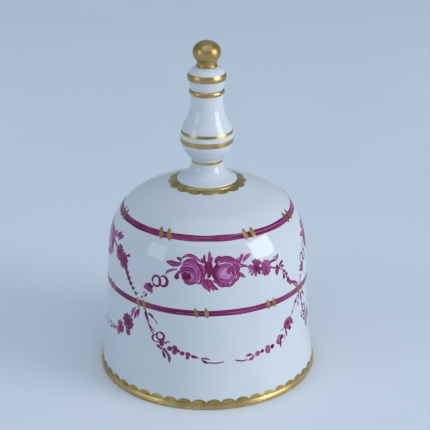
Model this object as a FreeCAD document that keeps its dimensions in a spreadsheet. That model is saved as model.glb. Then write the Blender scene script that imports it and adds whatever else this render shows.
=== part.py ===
"""Porcelain table bell: a turned shell and handle on a brass tie rod, with a swinging clapper.

Millimetres, +Z up. The origin is the centre of the circle on which the rim stands.
"""
import FreeCAD, Part
import math
import os
import Sketcher

Vector = FreeCAD.Vector

# Driving dimensions. Lengths and radii in millimetres, angles in degrees.
SIZES = {
    # bell shell
    "wall": 2.4,
    "waist_radius": 37.0,
    "waist_height": 32.2,
    "flare_arc_radius": 156.0,
    "side_arc_radius": 124.0,
    "side_arc_span": 9.5,
    "shoulder_arc_radius": 20.6,
    "shoulder_arc_span": 58.0,
    "crown_arc_radius": 121.5,
    "seat_height": 72.55,
    "ceiling_height": 70.3,
    "rim_outer_round": 0.85,
    "rim_inner_round": 0.75,
    "rod_hole_radius": 2.6,
    # handle, from the foot up
    "foot_radius": 10.8,
    "foot_edge_radius": 10.5,
    "foot_edge_height": 73.5,
    "foot_edge_round": 0.9,
    "cove_arc_radius": 6.5,
    "stem_waist_radius": 5.6,
    "stem_waist_height": 79.8,
    "bulb_radius": 9.5,
    "bulb_height": 88.3,
    "bulb_lower_arc_radius": 8.5,
    "bulb_upper_arc_radius": 11.5,
    "neck_radius": 5.75,
    "neck_height": 102.3,
    "bead_bottom_height": 104.55,
    "bead_top_height": 106.35,
    "bead_arc_radius": 1.05,
    "collar_bottom_radius": 6.7,
    "collar_bottom_height": 109.9,
    "collar_top_radius": 6.55,
    "collar_top_height": 112.1,
    "collar_arc_radius": 2.6,
    "handle_top_radius": 3.75,
    "handle_top_height": 114.4,
    "handle_top_arc_radius": 4.2,
    "core_bottom_height": 82.5,
    "core_top_height": 99.0,
    "core_arc_radius": 10.9,
    "gasket_recess_radius": 8.6,
    "gasket_recess_depth": 0.6,
    # finial ball nut
    "finial_flange_radius": 3.75,
    "finial_flange_height": 115.0,
    "finial_neck_radius": 3.5,
    "finial_neck_height": 115.3,
    "ball_bottom_height": 116.5,
    "ball_radius": 4.98,
    "ball_height": 119.5,
    "ball_side_arc_radius": 3.7,
    "ball_top_height": 123.65,
    "thread_depth_height": 119.6,
    # tie rod and the fittings under the crown
    "rod_radius": 2.0,
    "rod_top_height": 119.2,
    "rod_bottom_height": 63.6,
    "thread_clearance": 0.05,
    "washer_hole_radius": 2.2,
    "crown_gasket_radius": 8.4,
    "crown_gasket_thickness": 0.6,
    "cork_radius": 7.6,
    "cork_thickness": 1.0,
    "washer_radius": 7.0,
    "washer_thickness": 0.8,
    "nut_across_corners": 8.1,
    "nut_thickness": 3.2,
    "nut_edge_chamfer": 0.35,
    # hanging chain: eye, link and clapper
    "eye_height": 62.0,
    "eye_ring_radius": 2.3,
    "eye_wire_radius": 0.9,
    "link_height": 58.7,
    "link_ring_radius": 2.6,
    "link_wire_radius": 0.6,
    "loop_height": 55.2,
    "loop_ring_radius": 2.3,
    "stem_wire_radius": 0.7,
    "stem_bottom_height": 10.2,
    "stem_head_radius": 1.4,
    "stem_head_thickness": 0.8,
    "clapper_ball_radius": 6.5,
    "clapper_ball_height": 17.0,
    "clapper_bore_radius": 0.75,
}
SHEET = "Sizes"
ACROSS_X = FreeCAD.Rotation(Vector(0, 1, 0), 90)
ACROSS_Y = FreeCAD.Rotation(Vector(1, 0, 0), 90)


def ref(formula):
    """A formula in plain size names, as an expression on the spreadsheet."""
    words = []
    for word in formula.split():
        words.append(SHEET + "." + word if word in SIZES else word)
    return " ".join(words)


def make_sheet(doc):
    sheet = doc.addObject("Spreadsheet::Sheet", SHEET)
    for row, (alias, value) in enumerate(SIZES.items(), start=1):
        sheet.set(f"A{row}", alias)
        sheet.set(f"B{row}", str(value))
        sheet.setAlias(f"B{row}", alias)
    doc.recompute()


class Outline:
    """A sketch on one of a body's origin planes, drawn as lines and arcs that are tied to the sheet."""

    START, END, CENTRE = 1, 2, 3

    def __init__(self, body, name, plane="XZ_Plane"):
        self.sketch = body.newObject("Sketcher::SketchObject", name)
        for feature in body.Origin.OriginFeatures:
            if feature.Role == plane:
                self.sketch.AttachmentSupport = [(feature, "")]
        self.sketch.MapMode = "FlatFace"

    def line(self, start, end):
        return self.sketch.addGeometry(Part.LineSegment(Vector(*start), Vector(*end)), False)

    def arc(self, centre, radius, first_deg, last_deg):
        """An arc that runs anticlockwise from first_deg to last_deg."""
        circle = Part.Circle(Vector(*centre), Vector(0, 0, 1), radius)
        arc = Part.ArcOfCircle(circle, math.radians(first_deg), math.radians(last_deg))
        return self.sketch.addGeometry(arc, False)

    def arc_between(self, start, end, radius):
        """An arc of the given radius that runs anticlockwise from start to end, less than half a turn."""
        a, b = Vector(*start), Vector(*end)
        chord = b - a
        height = math.sqrt(radius ** 2 - (chord.Length / 2) ** 2)
        inward = Vector(-chord.y, chord.x, 0).normalize()
        centre = (a + b) * 0.5 + inward * height
        first = math.degrees(math.atan2(a.y - centre.y, a.x - centre.x))
        last = math.degrees(math.atan2(b.y - centre.y, b.x - centre.x))
        if last < first:
            last += 360
        return self.arc(centre, radius, first, last)

    def relate(self, *terms):
        return self.sketch.addConstraint(Sketcher.Constraint(*terms))

    def measure(self, formula, *terms):
        """A dimension that follows a formula on the sheet."""
        index = self.relate(*terms)
        self.sketch.setExpression(f"Constraints[{index}]", ref(formula))

    def join(self, first, first_end, second, second_end):
        self.relate("Coincident", first, first_end, second, second_end)

    def smooth(self, first, first_end, second, second_end):
        self.relate("Tangent", first, first_end, second, second_end)

    def across(self, item, point, formula):
        """Distance of a point from the axis of revolution."""
        place = self.sketch.getPoint(item, point)
        self.measure(formula, "DistanceX", -1, 1, item, point, place.x)

    def height(self, item, point, formula):
        place = self.sketch.getPoint(item, point)
        self.measure(formula, "DistanceY", -1, 1, item, point, place.y)

    def at(self, item, point, across, height):
        self.across(item, point, across)
        self.height(item, point, height)

    def radius(self, item, formula):
        self.measure(formula, "Radius", item, self.sketch.Geometry[item].Radius)

    def span(self, item, formula):
        arc = self.sketch.Geometry[item]
        angle = arc.LastParameter - arc.FirstParameter
        self.measure(f"{formula} * 1 deg", "Angle", item, angle)


def revolve(body, outline, name):
    body.Document.recompute()
    revolution = body.newObject("PartDesign::Revolution", name)
    revolution.Profile = outline.sketch
    revolution.ReferenceAxis = (outline.sketch, ["V_Axis"])
    revolution.Angle = 360
    body.Tip = revolution
    return revolution


def start_body(doc, name):
    body = doc.addObject("PartDesign::Body", name)
    body.Label = name
    return body


def polar(centre, radius, angle_deg):
    angle = math.radians(angle_deg)
    return (centre[0] + radius * math.cos(angle), centre[1] + radius * math.sin(angle))


def wall_arcs(outline, inner):
    """The chain of four tangent arcs from the rim flare up to the crown, for the outer or the inner face.

    Returns the flare and crown arcs, which end the chain, and about how far the flare turns at the rim.
    """
    offset = SIZES["wall"] if inner else 0
    minus = " - wall" if inner else ""
    plus = " + wall" if inner else ""
    waist = (SIZES["waist_radius"] - offset, SIZES["waist_height"])
    flare_radius = SIZES["flare_arc_radius"] + offset
    side_radius = SIZES["side_arc_radius"] - offset
    shoulder_radius = SIZES["shoulder_arc_radius"] - offset
    crown_radius = SIZES["crown_arc_radius"] - offset
    side_end = SIZES["side_arc_span"]
    shoulder_end = side_end + SIZES["shoulder_arc_span"]
    rim_turn = math.degrees(math.asin((waist[1] - SIZES["rim_outer_round"]) / flare_radius))
    side_centre = (waist[0] - side_radius, waist[1])
    shoulder_centre = polar(polar(side_centre, side_radius, side_end), -shoulder_radius, side_end)
    crown_centre = polar(polar(shoulder_centre, shoulder_radius, shoulder_end), -crown_radius, shoulder_end)
    crown_end = math.degrees(math.asin((SIZES["seat_height"] - offset - crown_centre[1]) / crown_radius))

    flare = outline.arc((waist[0] + flare_radius, waist[1]), flare_radius, 180, 180 + rim_turn)
    side = outline.arc(side_centre, side_radius, 0, side_end)
    shoulder = outline.arc(shoulder_centre, shoulder_radius, side_end, shoulder_end)
    crown = outline.arc(crown_centre, crown_radius, shoulder_end, crown_end)

    outline.at(flare, Outline.START, "waist_radius" + minus, "waist_height")
    outline.height(flare, Outline.CENTRE, "waist_height")
    outline.radius(flare, "flare_arc_radius" + plus)
    outline.smooth(flare, Outline.START, side, Outline.START)
    outline.radius(side, "side_arc_radius" + minus)
    outline.span(side, "side_arc_span")
    outline.smooth(side, Outline.END, shoulder, Outline.START)
    outline.radius(shoulder, "shoulder_arc_radius" + minus)
    outline.span(shoulder, "shoulder_arc_span")
    outline.smooth(shoulder, Outline.END, crown, Outline.START)
    outline.radius(crown, "crown_arc_radius" + minus)
    return flare, crown, rim_turn


def make_bell_body(doc):
    """The cast shell: flared wall, round shoulder, a flat seat for the handle and a hole for the rod."""
    body = start_body(doc, "bell_body")
    outline = Outline(body, "shell_outline")
    start, end = Outline.START, Outline.END
    outer_flare, outer_crown, outer_turn = wall_arcs(outline, inner=False)
    inner_flare, inner_crown, inner_turn = wall_arcs(outline, inner=True)
    outline.height(outer_crown, end, "seat_height")
    outline.height(inner_crown, end, "ceiling_height")

    hole = SIZES["rod_hole_radius"]
    crown_edge = outline.sketch.getPoint(outer_crown, end)
    ceiling_edge = outline.sketch.getPoint(inner_crown, end)
    seat = outline.line((crown_edge.x, crown_edge.y), (hole, crown_edge.y))
    bore = outline.line((hole, crown_edge.y), (hole, ceiling_edge.y))
    ceiling = outline.line((hole, ceiling_edge.y), (ceiling_edge.x, ceiling_edge.y))
    outline.join(outer_crown, end, seat, start)
    outline.relate("Horizontal", seat)
    outline.across(seat, end, "rod_hole_radius")
    outline.join(seat, end, bore, start)
    outline.relate("Vertical", bore)
    outline.join(bore, end, ceiling, start)
    outline.relate("Horizontal", ceiling)
    outline.join(ceiling, end, inner_crown, end)

    outer_foot = outline.sketch.getPoint(outer_flare, end)
    inner_foot = outline.sketch.getPoint(inner_flare, end)
    outer_round = SIZES["rim_outer_round"]
    inner_round = SIZES["rim_inner_round"]
    outer_centre = (outer_foot.x - outer_round, outer_round)
    inner_centre = (inner_foot.x + inner_round, inner_round)
    inner_corner = outline.arc(inner_centre, inner_round, 180 + inner_turn, 270)
    land = outline.line((inner_centre[0], 0), (outer_centre[0], 0))
    outer_corner = outline.arc(outer_centre, outer_round, 270, 360 + outer_turn)
    outline.smooth(inner_flare, end, inner_corner, start)
    outline.radius(inner_corner, "rim_inner_round")
    outline.smooth(inner_corner, end, land, start)
    outline.relate("PointOnObject", land, start, -1)
    outline.relate("Horizontal", land)
    outline.smooth(land, end, outer_corner, start)
    outline.radius(outer_corner, "rim_outer_round")
    outline.smooth(outer_corner, end, outer_flare, end)
    revolve(body, outline, "shell")
    return body


def make_handle(doc):
    """The turned porcelain baluster with its cast core, on a flat foot with a recess for a gasket."""
    body = start_body(doc, "handle")
    outline = Outline(body, "handle_outline")
    start, end, centre = Outline.START, Outline.END, Outline.CENTRE
    size = SIZES
    seat = size["seat_height"]
    recess_top = seat + size["gasket_recess_depth"]
    hole = size["rod_hole_radius"]
    waist = (size["stem_waist_radius"], size["stem_waist_height"])
    belly = (size["bulb_radius"], size["bulb_height"])
    neck = (size["neck_radius"], size["neck_height"])
    foot_edge = (size["foot_edge_radius"], size["foot_edge_height"])
    collar_bottom = (size["collar_bottom_radius"], size["collar_bottom_height"])
    collar_top = (size["collar_top_radius"], size["collar_top_height"])
    top = (size["handle_top_radius"], size["handle_top_height"])

    # Radii of the two concave arcs that the tangencies settle.
    lower_bulb = size["bulb_lower_arc_radius"]
    lower_reach = waist[0] - (belly[0] - lower_bulb)
    lower_drop = belly[1] - waist[1]
    fillet = (lower_reach ** 2 + lower_drop ** 2 - lower_bulb ** 2) / (2 * (lower_bulb - lower_reach))
    upper_bulb = size["bulb_upper_arc_radius"]
    upper_reach = neck[0] - (belly[0] - upper_bulb)
    upper_rise = neck[1] - belly[1]
    taper = (upper_reach ** 2 + upper_rise ** 2 - upper_bulb ** 2) / (2 * (upper_bulb - upper_reach))
    low_angle = math.degrees(math.atan2(lower_drop, lower_reach + fillet))
    high_angle = math.degrees(math.atan2(upper_rise, upper_reach + taper))
    cove = size["cove_arc_radius"]
    cove_turn = math.degrees(math.asin((waist[1] - foot_edge[1]) / cove))

    foot = outline.line((size["gasket_recess_radius"], seat), (size["foot_radius"], seat))
    edge = outline.arc_between((size["foot_radius"], seat), foot_edge, size["foot_edge_round"])
    cove_arc = outline.arc((waist[0] + cove, waist[1]), cove, 180, 180 + cove_turn)
    fillet_arc = outline.arc((waist[0] + fillet, waist[1]), fillet, 180 - low_angle, 180)
    bulb_low = outline.arc((belly[0] - lower_bulb, belly[1]), lower_bulb, -low_angle, 0)
    bulb_high = outline.arc((belly[0] - upper_bulb, belly[1]), upper_bulb, 0, high_angle)
    taper_arc = outline.arc((neck[0] + taper, neck[1]), taper, 180, 180 + high_angle)
    neck_line = outline.line(neck, (neck[0], size["bead_bottom_height"]))
    bead_bottom = (neck[0], size["bead_bottom_height"])
    bead_top = (neck[0], size["bead_top_height"])
    bead = outline.arc_between(bead_bottom, bead_top, size["bead_arc_radius"])
    collar_slope = outline.line(bead_top, collar_bottom)
    collar = outline.arc_between(collar_bottom, collar_top, size["collar_arc_radius"])
    shoulder = outline.arc_between(collar_top, top, size["handle_top_arc_radius"])
    top_line = outline.line(top, (hole, top[1]))
    upper_bore = outline.line((hole, top[1]), (hole, size["core_top_height"]))
    core_ends = ((hole, size["core_bottom_height"]), (hole, size["core_top_height"]))
    core = outline.arc_between(core_ends[0], core_ends[1], size["core_arc_radius"])
    lower_bore = outline.line(core_ends[0], (hole, recess_top))
    recess = outline.line((hole, recess_top), (size["gasket_recess_radius"], recess_top))
    recess_side = outline.line((size["gasket_recess_radius"], recess_top), (size["gasket_recess_radius"], seat))

    outline.relate("Horizontal", foot)
    outline.at(foot, start, "gasket_recess_radius", "seat_height")
    outline.across(foot, end, "foot_radius")
    outline.join(foot, end, edge, start)
    outline.radius(edge, "foot_edge_round")
    outline.join(edge, end, cove_arc, end)
    outline.height(cove_arc, end, "foot_edge_height")
    outline.at(cove_arc, start, "stem_waist_radius", "stem_waist_height")
    outline.height(cove_arc, centre, "stem_waist_height")
    outline.radius(cove_arc, "cove_arc_radius")

    outline.smooth(cove_arc, start, fillet_arc, end)
    outline.smooth(fillet_arc, start, bulb_low, start)
    outline.at(bulb_low, end, "bulb_radius", "bulb_height")
    outline.height(bulb_low, centre, "bulb_height")
    outline.radius(bulb_low, "bulb_lower_arc_radius")
    outline.smooth(bulb_low, end, bulb_high, start)
    outline.radius(bulb_high, "bulb_upper_arc_radius")
    outline.smooth(bulb_high, end, taper_arc, end)
    outline.at(taper_arc, start, "neck_radius", "neck_height")
    outline.height(taper_arc, centre, "neck_height")

    outline.join(taper_arc, start, neck_line, start)
    outline.relate("Vertical", neck_line)
    outline.height(neck_line, end, "bead_bottom_height")
    outline.join(neck_line, end, bead, start)
    outline.radius(bead, "bead_arc_radius")
    outline.join(bead, end, collar_slope, start)
    outline.at(bead, end, "neck_radius", "bead_top_height")
    outline.at(collar_slope, end, "collar_bottom_radius", "collar_bottom_height")
    outline.join(collar_slope, end, collar, start)
    outline.radius(collar, "collar_arc_radius")
    outline.at(collar, end, "collar_top_radius", "collar_top_height")
    outline.join(collar, end, shoulder, start)
    outline.radius(shoulder, "handle_top_arc_radius")
    outline.at(shoulder, end, "handle_top_radius", "handle_top_height")

    outline.join(shoulder, end, top_line, start)
    outline.relate("Horizontal", top_line)
    outline.across(top_line, end, "rod_hole_radius")
    outline.join(top_line, end, upper_bore, start)
    outline.relate("Vertical", upper_bore)
    outline.join(upper_bore, end, core, end)
    outline.height(core, end, "core_top_height")
    outline.radius(core, "core_arc_radius")
    outline.join(core, start, lower_bore, start)
    outline.at(core, start, "rod_hole_radius", "core_bottom_height")
    outline.relate("Vertical", lower_bore)
    outline.join(lower_bore, end, recess, start)
    outline.relate("Horizontal", recess)
    outline.height(recess, start, "seat_height + gasket_recess_depth")
    outline.join(recess, end, recess_side, start)
    outline.relate("Vertical", recess_side)
    outline.join(recess_side, end, foot, start)
    revolve(body, outline, "baluster")
    return body


def make_finial(doc):
    """The gilt ball nut: a slightly flattened ball on a short neck and flange, with a blind thread."""
    body = start_body(doc, "finial_ball")
    outline = Outline(body, "finial_outline")
    start, end, centre = Outline.START, Outline.END, Outline.CENTRE
    size = SIZES
    bore = size["rod_radius"] + size["thread_clearance"]
    base = size["handle_top_height"]
    flange = (size["finial_flange_radius"], size["finial_flange_height"])
    neck = (size["finial_neck_radius"], size["finial_neck_height"])
    side_radius = size["ball_side_arc_radius"]
    middle = (size["ball_radius"] - side_radius, size["ball_height"])
    rise = size["ball_top_height"] - size["ball_height"]
    # Radius of the flatter top arc, tangent to the side arc and level on the axis.
    top_radius = (middle[0] ** 2 + rise ** 2 - side_radius ** 2) / (2 * (rise - side_radius))
    top_centre = (0, size["ball_top_height"] - top_radius)
    low_angle = math.degrees(math.asin((size["ball_bottom_height"] - middle[1]) / side_radius))
    high_angle = math.degrees(math.atan2(middle[1] - top_centre[1], middle[0]))
    ball_bottom = polar(middle, side_radius, low_angle)

    underside = outline.line((bore, base), (flange[0], base))
    flange_side = outline.line((flange[0], base), flange)
    flange_top = outline.line(flange, neck)
    neck_line = outline.line(neck, ball_bottom)
    ball_side = outline.arc(middle, side_radius, low_angle, high_angle)
    ball_top = outline.arc(top_centre, top_radius, high_angle, 90)
    axis = outline.line((0, size["ball_top_height"]), (0, size["thread_depth_height"]))
    thread_end = outline.line((0, size["thread_depth_height"]), (bore, size["thread_depth_height"]))
    thread = outline.line((bore, size["thread_depth_height"]), (bore, base))

    outline.relate("Horizontal", underside)
    outline.at(underside, start, "rod_radius + thread_clearance", "handle_top_height")
    outline.join(underside, end, flange_side, start)
    outline.relate("Vertical", flange_side)
    outline.at(flange_side, end, "finial_flange_radius", "finial_flange_height")
    outline.join(flange_side, end, flange_top, start)
    outline.at(flange_top, end, "finial_neck_radius", "finial_neck_height")
    outline.join(flange_top, end, neck_line, start)
    outline.join(neck_line, end, ball_side, start)
    outline.height(ball_side, start, "ball_bottom_height")
    outline.radius(ball_side, "ball_side_arc_radius")
    outline.at(ball_side, centre, "ball_radius - ball_side_arc_radius", "ball_height")
    outline.smooth(ball_side, end, ball_top, start)
    outline.relate("PointOnObject", ball_top, end, -2)
    outline.relate("PointOnObject", ball_top, centre, -2)
    outline.height(ball_top, end, "ball_top_height")
    outline.join(ball_top, end, axis, start)
    outline.relate("Vertical", axis)
    outline.height(axis, end, "thread_depth_height")
    outline.join(axis, end, thread_end, start)
    outline.relate("Horizontal", thread_end)
    outline.join(thread_end, end, thread, start)
    outline.relate("Vertical", thread)
    outline.join(thread, end, underside, start)
    revolve(body, outline, "finial")
    return body


def circle_pad(body, name, radius_formula, radius, length_formula, bottom_formula):
    """A disc: a circle on the body's XY plane, raised to its height and padded upwards."""
    outline = Outline(body, name + "_circle", "XY_Plane")
    circle = outline.sketch.addGeometry(Part.Circle(Vector(0, 0, 0), Vector(0, 0, 1), radius), False)
    outline.relate("Coincident", circle, Outline.CENTRE, -1, 1)
    outline.measure(radius_formula, "Radius", circle, radius)
    outline.sketch.setExpression("AttachmentOffset.Base.z", ref(bottom_formula))
    pad = body.newObject("PartDesign::Pad", name)
    pad.Profile = outline.sketch
    pad.setExpression("Length", ref(length_formula))
    body.Tip = pad
    return pad


def cut_hole(body, name, radius_formula, radius, bottom_formula):
    """A round hole on the axis, cut upwards through all of the body from its underside."""
    outline = Outline(body, name + "_circle", "XY_Plane")
    circle = outline.sketch.addGeometry(Part.Circle(Vector(0, 0, 0), Vector(0, 0, 1), radius), False)
    outline.relate("Coincident", circle, Outline.CENTRE, -1, 1)
    outline.measure(radius_formula, "Radius", circle, radius)
    outline.sketch.setExpression("AttachmentOffset.Base.z", ref(bottom_formula))
    body.Document.recompute()
    before = body.Tip.Shape.Volume
    pocket = body.newObject("PartDesign::Pocket", name)
    pocket.Profile = outline.sketch
    pocket.Type = "ThroughAll"
    pocket.Reversed = True
    body.Tip = pocket
    body.Document.recompute()
    if not pocket.Shape.Volume < before:
        raise RuntimeError(f"{body.Label}: {name} cuts nothing")
    return pocket


def make_ring(doc, name, radius_alias, thickness_alias, bottom_formula):
    """A flat washer or gasket on the rod."""
    body = start_body(doc, name)
    circle_pad(body, name + "_disc", radius_alias, SIZES[radius_alias], thickness_alias, bottom_formula)
    cut_hole(body, name + "_hole", "washer_hole_radius", SIZES["washer_hole_radius"], bottom_formula)
    return body


def make_nut(doc, bottom_formula):
    """The hexagon nut that clamps the shell to the handle, with its upper and lower corners broken."""
    body = start_body(doc, "retaining_nut")
    outline = Outline(body, "nut_hexagon", "XY_Plane")
    radius = SIZES["nut_across_corners"] / 2
    corners = [polar((0, 0), radius, 60 * step) for step in range(6)]
    sides = [outline.line(corners[step], corners[(step + 1) % 6]) for step in range(6)]
    guide = outline.sketch.addGeometry(Part.Circle(Vector(0, 0, 0), Vector(0, 0, 1), radius), True)
    outline.relate("Coincident", guide, Outline.CENTRE, -1, 1)
    outline.measure("nut_across_corners / 2", "Radius", guide, radius)
    for step, side in enumerate(sides):
        outline.join(side, Outline.END, sides[(step + 1) % 6], Outline.START)
        outline.relate("PointOnObject", side, Outline.START, guide)
    for first, second in zip(sides[:-1], sides[1:]):
        outline.relate("Equal", first, second)
    outline.relate("PointOnObject", sides[0], Outline.START, -1)
    outline.sketch.setExpression("AttachmentOffset.Base.z", ref(bottom_formula))
    pad = body.newObject("PartDesign::Pad", "nut_pad")
    pad.Profile = outline.sketch
    pad.setExpression("Length", ref("nut_thickness"))
    body.Tip = pad
    thread = cut_hole(body, "nut_thread", "rod_radius + thread_clearance", SIZES["rod_radius"], bottom_formula)
    edges = []
    for number, edge in enumerate(thread.Shape.Edges, start=1):
        flat = abs(edge.Vertexes[0].Z - edge.Vertexes[-1].Z) < 1e-6
        if flat and isinstance(edge.Curve, Part.Line):
            edges.append(f"Edge{number}")
    chamfer = body.newObject("PartDesign::Chamfer", "nut_chamfer")
    chamfer.Base = (thread, edges)
    chamfer.setExpression("Size", ref("nut_edge_chamfer"))
    body.Tip = chamfer
    return body


def upright(doc, name, radius_formula, bottom_formula, length_formula):
    """A cylinder that stands on the axis."""
    cylinder = doc.addObject("Part::Cylinder", name)
    cylinder.setExpression("Radius", ref(radius_formula))
    cylinder.setExpression("Height", ref(length_formula))
    cylinder.setExpression("Placement.Base.z", ref(bottom_formula))
    return cylinder


def ring(doc, name, ring_formula, wire_formula, height_formula, rotation):
    """A round wire ring with its centre on the axis."""
    torus = doc.addObject("Part::Torus", name)
    torus.setExpression("Radius1", ref(ring_formula))
    torus.setExpression("Radius2", ref(wire_formula))
    torus.Placement = FreeCAD.Placement(Vector(0, 0, 0), rotation)
    torus.setExpression("Placement.Base.z", ref(height_formula))
    return torus


def fuse(doc, name, pieces):
    joined = doc.addObject("Part::MultiFuse", name)
    joined.Shapes = pieces
    joined.Refine = False
    joined.Label = name
    return joined


def make_tie_rod(doc):
    """The threaded brass rod through handle and crown, with an eye forged at its lower end."""
    rod = upright(doc, "rod_shank", "rod_radius", "rod_bottom_height", "rod_top_height - rod_bottom_height")
    eye = ring(doc, "rod_eye", "eye_ring_radius", "eye_wire_radius", "eye_height", ACROSS_Y)
    return fuse(doc, "tie_rod", [rod, eye])


def make_link(doc):
    """The plain wire ring that hangs in the eye, at right angles to it."""
    link = ring(doc, "hanger_link", "link_ring_radius", "link_wire_radius", "link_height", ACROSS_X)
    link.Label = "hanger_link"
    return link


def make_clapper_stem(doc):
    """The clapper's wire: a loop in the link, a straight stem and a riveted head below the ball."""
    loop = ring(doc, "stem_loop", "loop_ring_radius", "stem_wire_radius", "loop_height", ACROSS_Y)
    wire = upright(doc, "stem_wire", "stem_wire_radius", "stem_bottom_height",
                   "loop_height - loop_ring_radius - stem_bottom_height")
    head = upright(doc, "stem_head", "stem_head_radius",
                   "clapper_ball_height - clapper_ball_radius - stem_head_thickness", "stem_head_thickness")
    return fuse(doc, "clapper_stem", [loop, wire, head])


def make_clapper_ball(doc):
    """The drilled brass ball on the stem."""
    ball = doc.addObject("Part::Sphere", "ball_blank")
    ball.setExpression("Radius", ref("clapper_ball_radius"))
    ball.setExpression("Placement.Base.z", ref("clapper_ball_height"))
    drill = upright(doc, "ball_drill", "clapper_bore_radius",
                    "clapper_ball_height - clapper_ball_radius", "2 * clapper_ball_radius")
    bored = doc.addObject("Part::Cut", "clapper_ball")
    bored.Base = ball
    bored.Tool = drill
    bored.Label = "clapper_ball"
    return bored


def check(doc, parts):
    """Stop if anything failed to compute or a piece isn't one closed solid."""
    for item in doc.Objects:
        if "Invalid" in item.State or "Error" in item.State:
            raise RuntimeError(f"{item.Label}: {item.State}")
    for piece in parts:
        shape = piece.Shape
        if shape.isNull() or not shape.isValid() or len(shape.Solids) != 1:
            raise RuntimeError(f"{piece.Label}: not one valid solid")
        box = shape.optimalBoundingBox(True, False)
        print(f"{piece.Label:16} {shape.Volume:10.1f} mm3   x {box.XMin:7.2f} {box.XMax:7.2f}"
              f"   z {box.ZMin:7.2f} {box.ZMax:7.2f}")


def main():
    os.makedirs("parts", exist_ok=True)
    doc = FreeCAD.newDocument("porcelain_bell")
    make_sheet(doc)
    cork_bottom = "ceiling_height - cork_thickness"
    washer_bottom = cork_bottom + " - washer_thickness"
    nut_bottom = washer_bottom + " - nut_thickness"
    parts = [
        make_bell_body(doc),
        make_handle(doc),
        make_finial(doc),
        make_tie_rod(doc),
        make_ring(doc, "crown_gasket", "crown_gasket_radius", "crown_gasket_thickness", "seat_height"),
        make_ring(doc, "inner_gasket", "cork_radius", "cork_thickness", cork_bottom),
        make_ring(doc, "inner_washer", "washer_radius", "washer_thickness", washer_bottom),
        make_nut(doc, nut_bottom),
        make_link(doc),
        make_clapper_stem(doc),
        make_clapper_ball(doc),
    ]
    doc.recompute()
    check(doc, parts)
    for piece in parts:
        piece.Shape.exportStep(f"parts/{piece.Label}.step")


main()
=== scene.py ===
"""Porcelain table bell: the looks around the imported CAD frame.

Lengths in this script are millimetres and are turned into metres when a mesh is made.
"""

import math
import random

import bpy
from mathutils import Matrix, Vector


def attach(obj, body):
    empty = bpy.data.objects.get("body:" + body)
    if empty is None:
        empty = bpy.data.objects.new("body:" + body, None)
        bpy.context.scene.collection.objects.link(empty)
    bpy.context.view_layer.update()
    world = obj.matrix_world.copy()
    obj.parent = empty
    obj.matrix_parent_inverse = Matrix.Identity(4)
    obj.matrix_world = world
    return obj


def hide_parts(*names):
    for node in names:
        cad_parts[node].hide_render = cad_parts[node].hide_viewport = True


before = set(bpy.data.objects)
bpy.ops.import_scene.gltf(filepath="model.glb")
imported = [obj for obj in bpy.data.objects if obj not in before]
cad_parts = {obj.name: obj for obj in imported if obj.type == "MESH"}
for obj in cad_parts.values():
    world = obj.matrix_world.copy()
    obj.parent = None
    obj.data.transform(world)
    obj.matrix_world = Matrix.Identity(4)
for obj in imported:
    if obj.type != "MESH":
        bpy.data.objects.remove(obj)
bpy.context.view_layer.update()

MM = 0.001
TURN = 2 * math.pi
LATHE_STEPS = 360

# Shell profile, as (radius, height) points and arcs.
WAIST_RADIUS, WAIST_HEIGHT = 37.0, 32.2
WALL = 2.4
FLARE_RADIUS = 156.0
SIDE_RADIUS, SIDE_SPAN = 124.0, 9.5
SHOULDER_RADIUS, SHOULDER_SPAN = 20.6, 58.0
CROWN_RADIUS = 121.5
SEAT_HEIGHT, CEILING_HEIGHT = 72.55, 70.3
RIM_OUTER_ROUND, RIM_INNER_ROUND = 0.85, 0.75
ROD_HOLE = 2.6

# Thickness of the fired layers above the glaze.
ENAMEL_EDGE, ENAMEL_CROWN = 0.006, 0.012
LAYER_STEP = 0.0016
GOLD_EDGE, GOLD_CROWN = 0.012, 0.030
LAYER_DEPTH = -0.030

# How a stroke is drawn: the spacing of its stations, its least half width, the share by which the
# hand's width wavers, and the half width from which it gets more columns.
STATION_LENGTH = 0.33
LEAST_HALF_WIDTH = 0.025
WAVER = 0.07
BROAD_HALF_WIDTH = 0.9


# ---------------------------------------------------------------- profiles

def polar(centre, radius, degrees):
    angle = math.radians(degrees)
    return (centre[0] + radius * math.cos(angle), centre[1] + radius * math.sin(angle))


def arc(centre, radius, first, last, step=3.0, least=2):
    """Points on an arc from the first to the last angle, in degrees, in at least so many pieces."""
    count = max(least, math.ceil(abs(last - first) / step))
    return [polar(centre, radius, first + (last - first) * i / count) for i in range(count + 1)]


def arc_between(start, end, radius, step=8.0):
    """Points on an anticlockwise arc of less than half a turn."""
    across, up = end[0] - start[0], end[1] - start[1]
    length = math.hypot(across, up)
    rise = math.sqrt(radius ** 2 - (length / 2) ** 2)
    centre = (
        (start[0] + end[0]) / 2 - up / length * rise,
        (start[1] + end[1]) / 2 + across / length * rise,
    )
    first = math.degrees(math.atan2(start[1] - centre[1], start[0] - centre[0]))
    last = math.degrees(math.atan2(end[1] - centre[1], end[0] - centre[0]))
    if last < first:
        last += 360
    return arc(centre, radius, first, last, step)


def line(start, end, pieces=1):
    return [
        (start[0] + (end[0] - start[0]) * i / pieces, start[1] + (end[1] - start[1]) * i / pieces)
        for i in range(pieces + 1)
    ]


def joined(*runs):
    """One list of points from runs that follow each other, without the doubled ends."""
    points = []
    for run in runs:
        for point in run:
            if not points or math.dist(point, points[-1]) > 1e-6:
                points.append(point)
    return points


FLARE_CENTRE = (WAIST_RADIUS + FLARE_RADIUS, WAIST_HEIGHT)
SIDE_CENTRE = (WAIST_RADIUS - SIDE_RADIUS, WAIST_HEIGHT)
SHOULDER_CENTRE = polar(SIDE_CENTRE, SIDE_RADIUS - SHOULDER_RADIUS, SIDE_SPAN)
CROWN_ANGLE = SIDE_SPAN + SHOULDER_SPAN
CROWN_CENTRE = polar(SHOULDER_CENTRE, SHOULDER_RADIUS - CROWN_RADIUS, CROWN_ANGLE)


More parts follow.
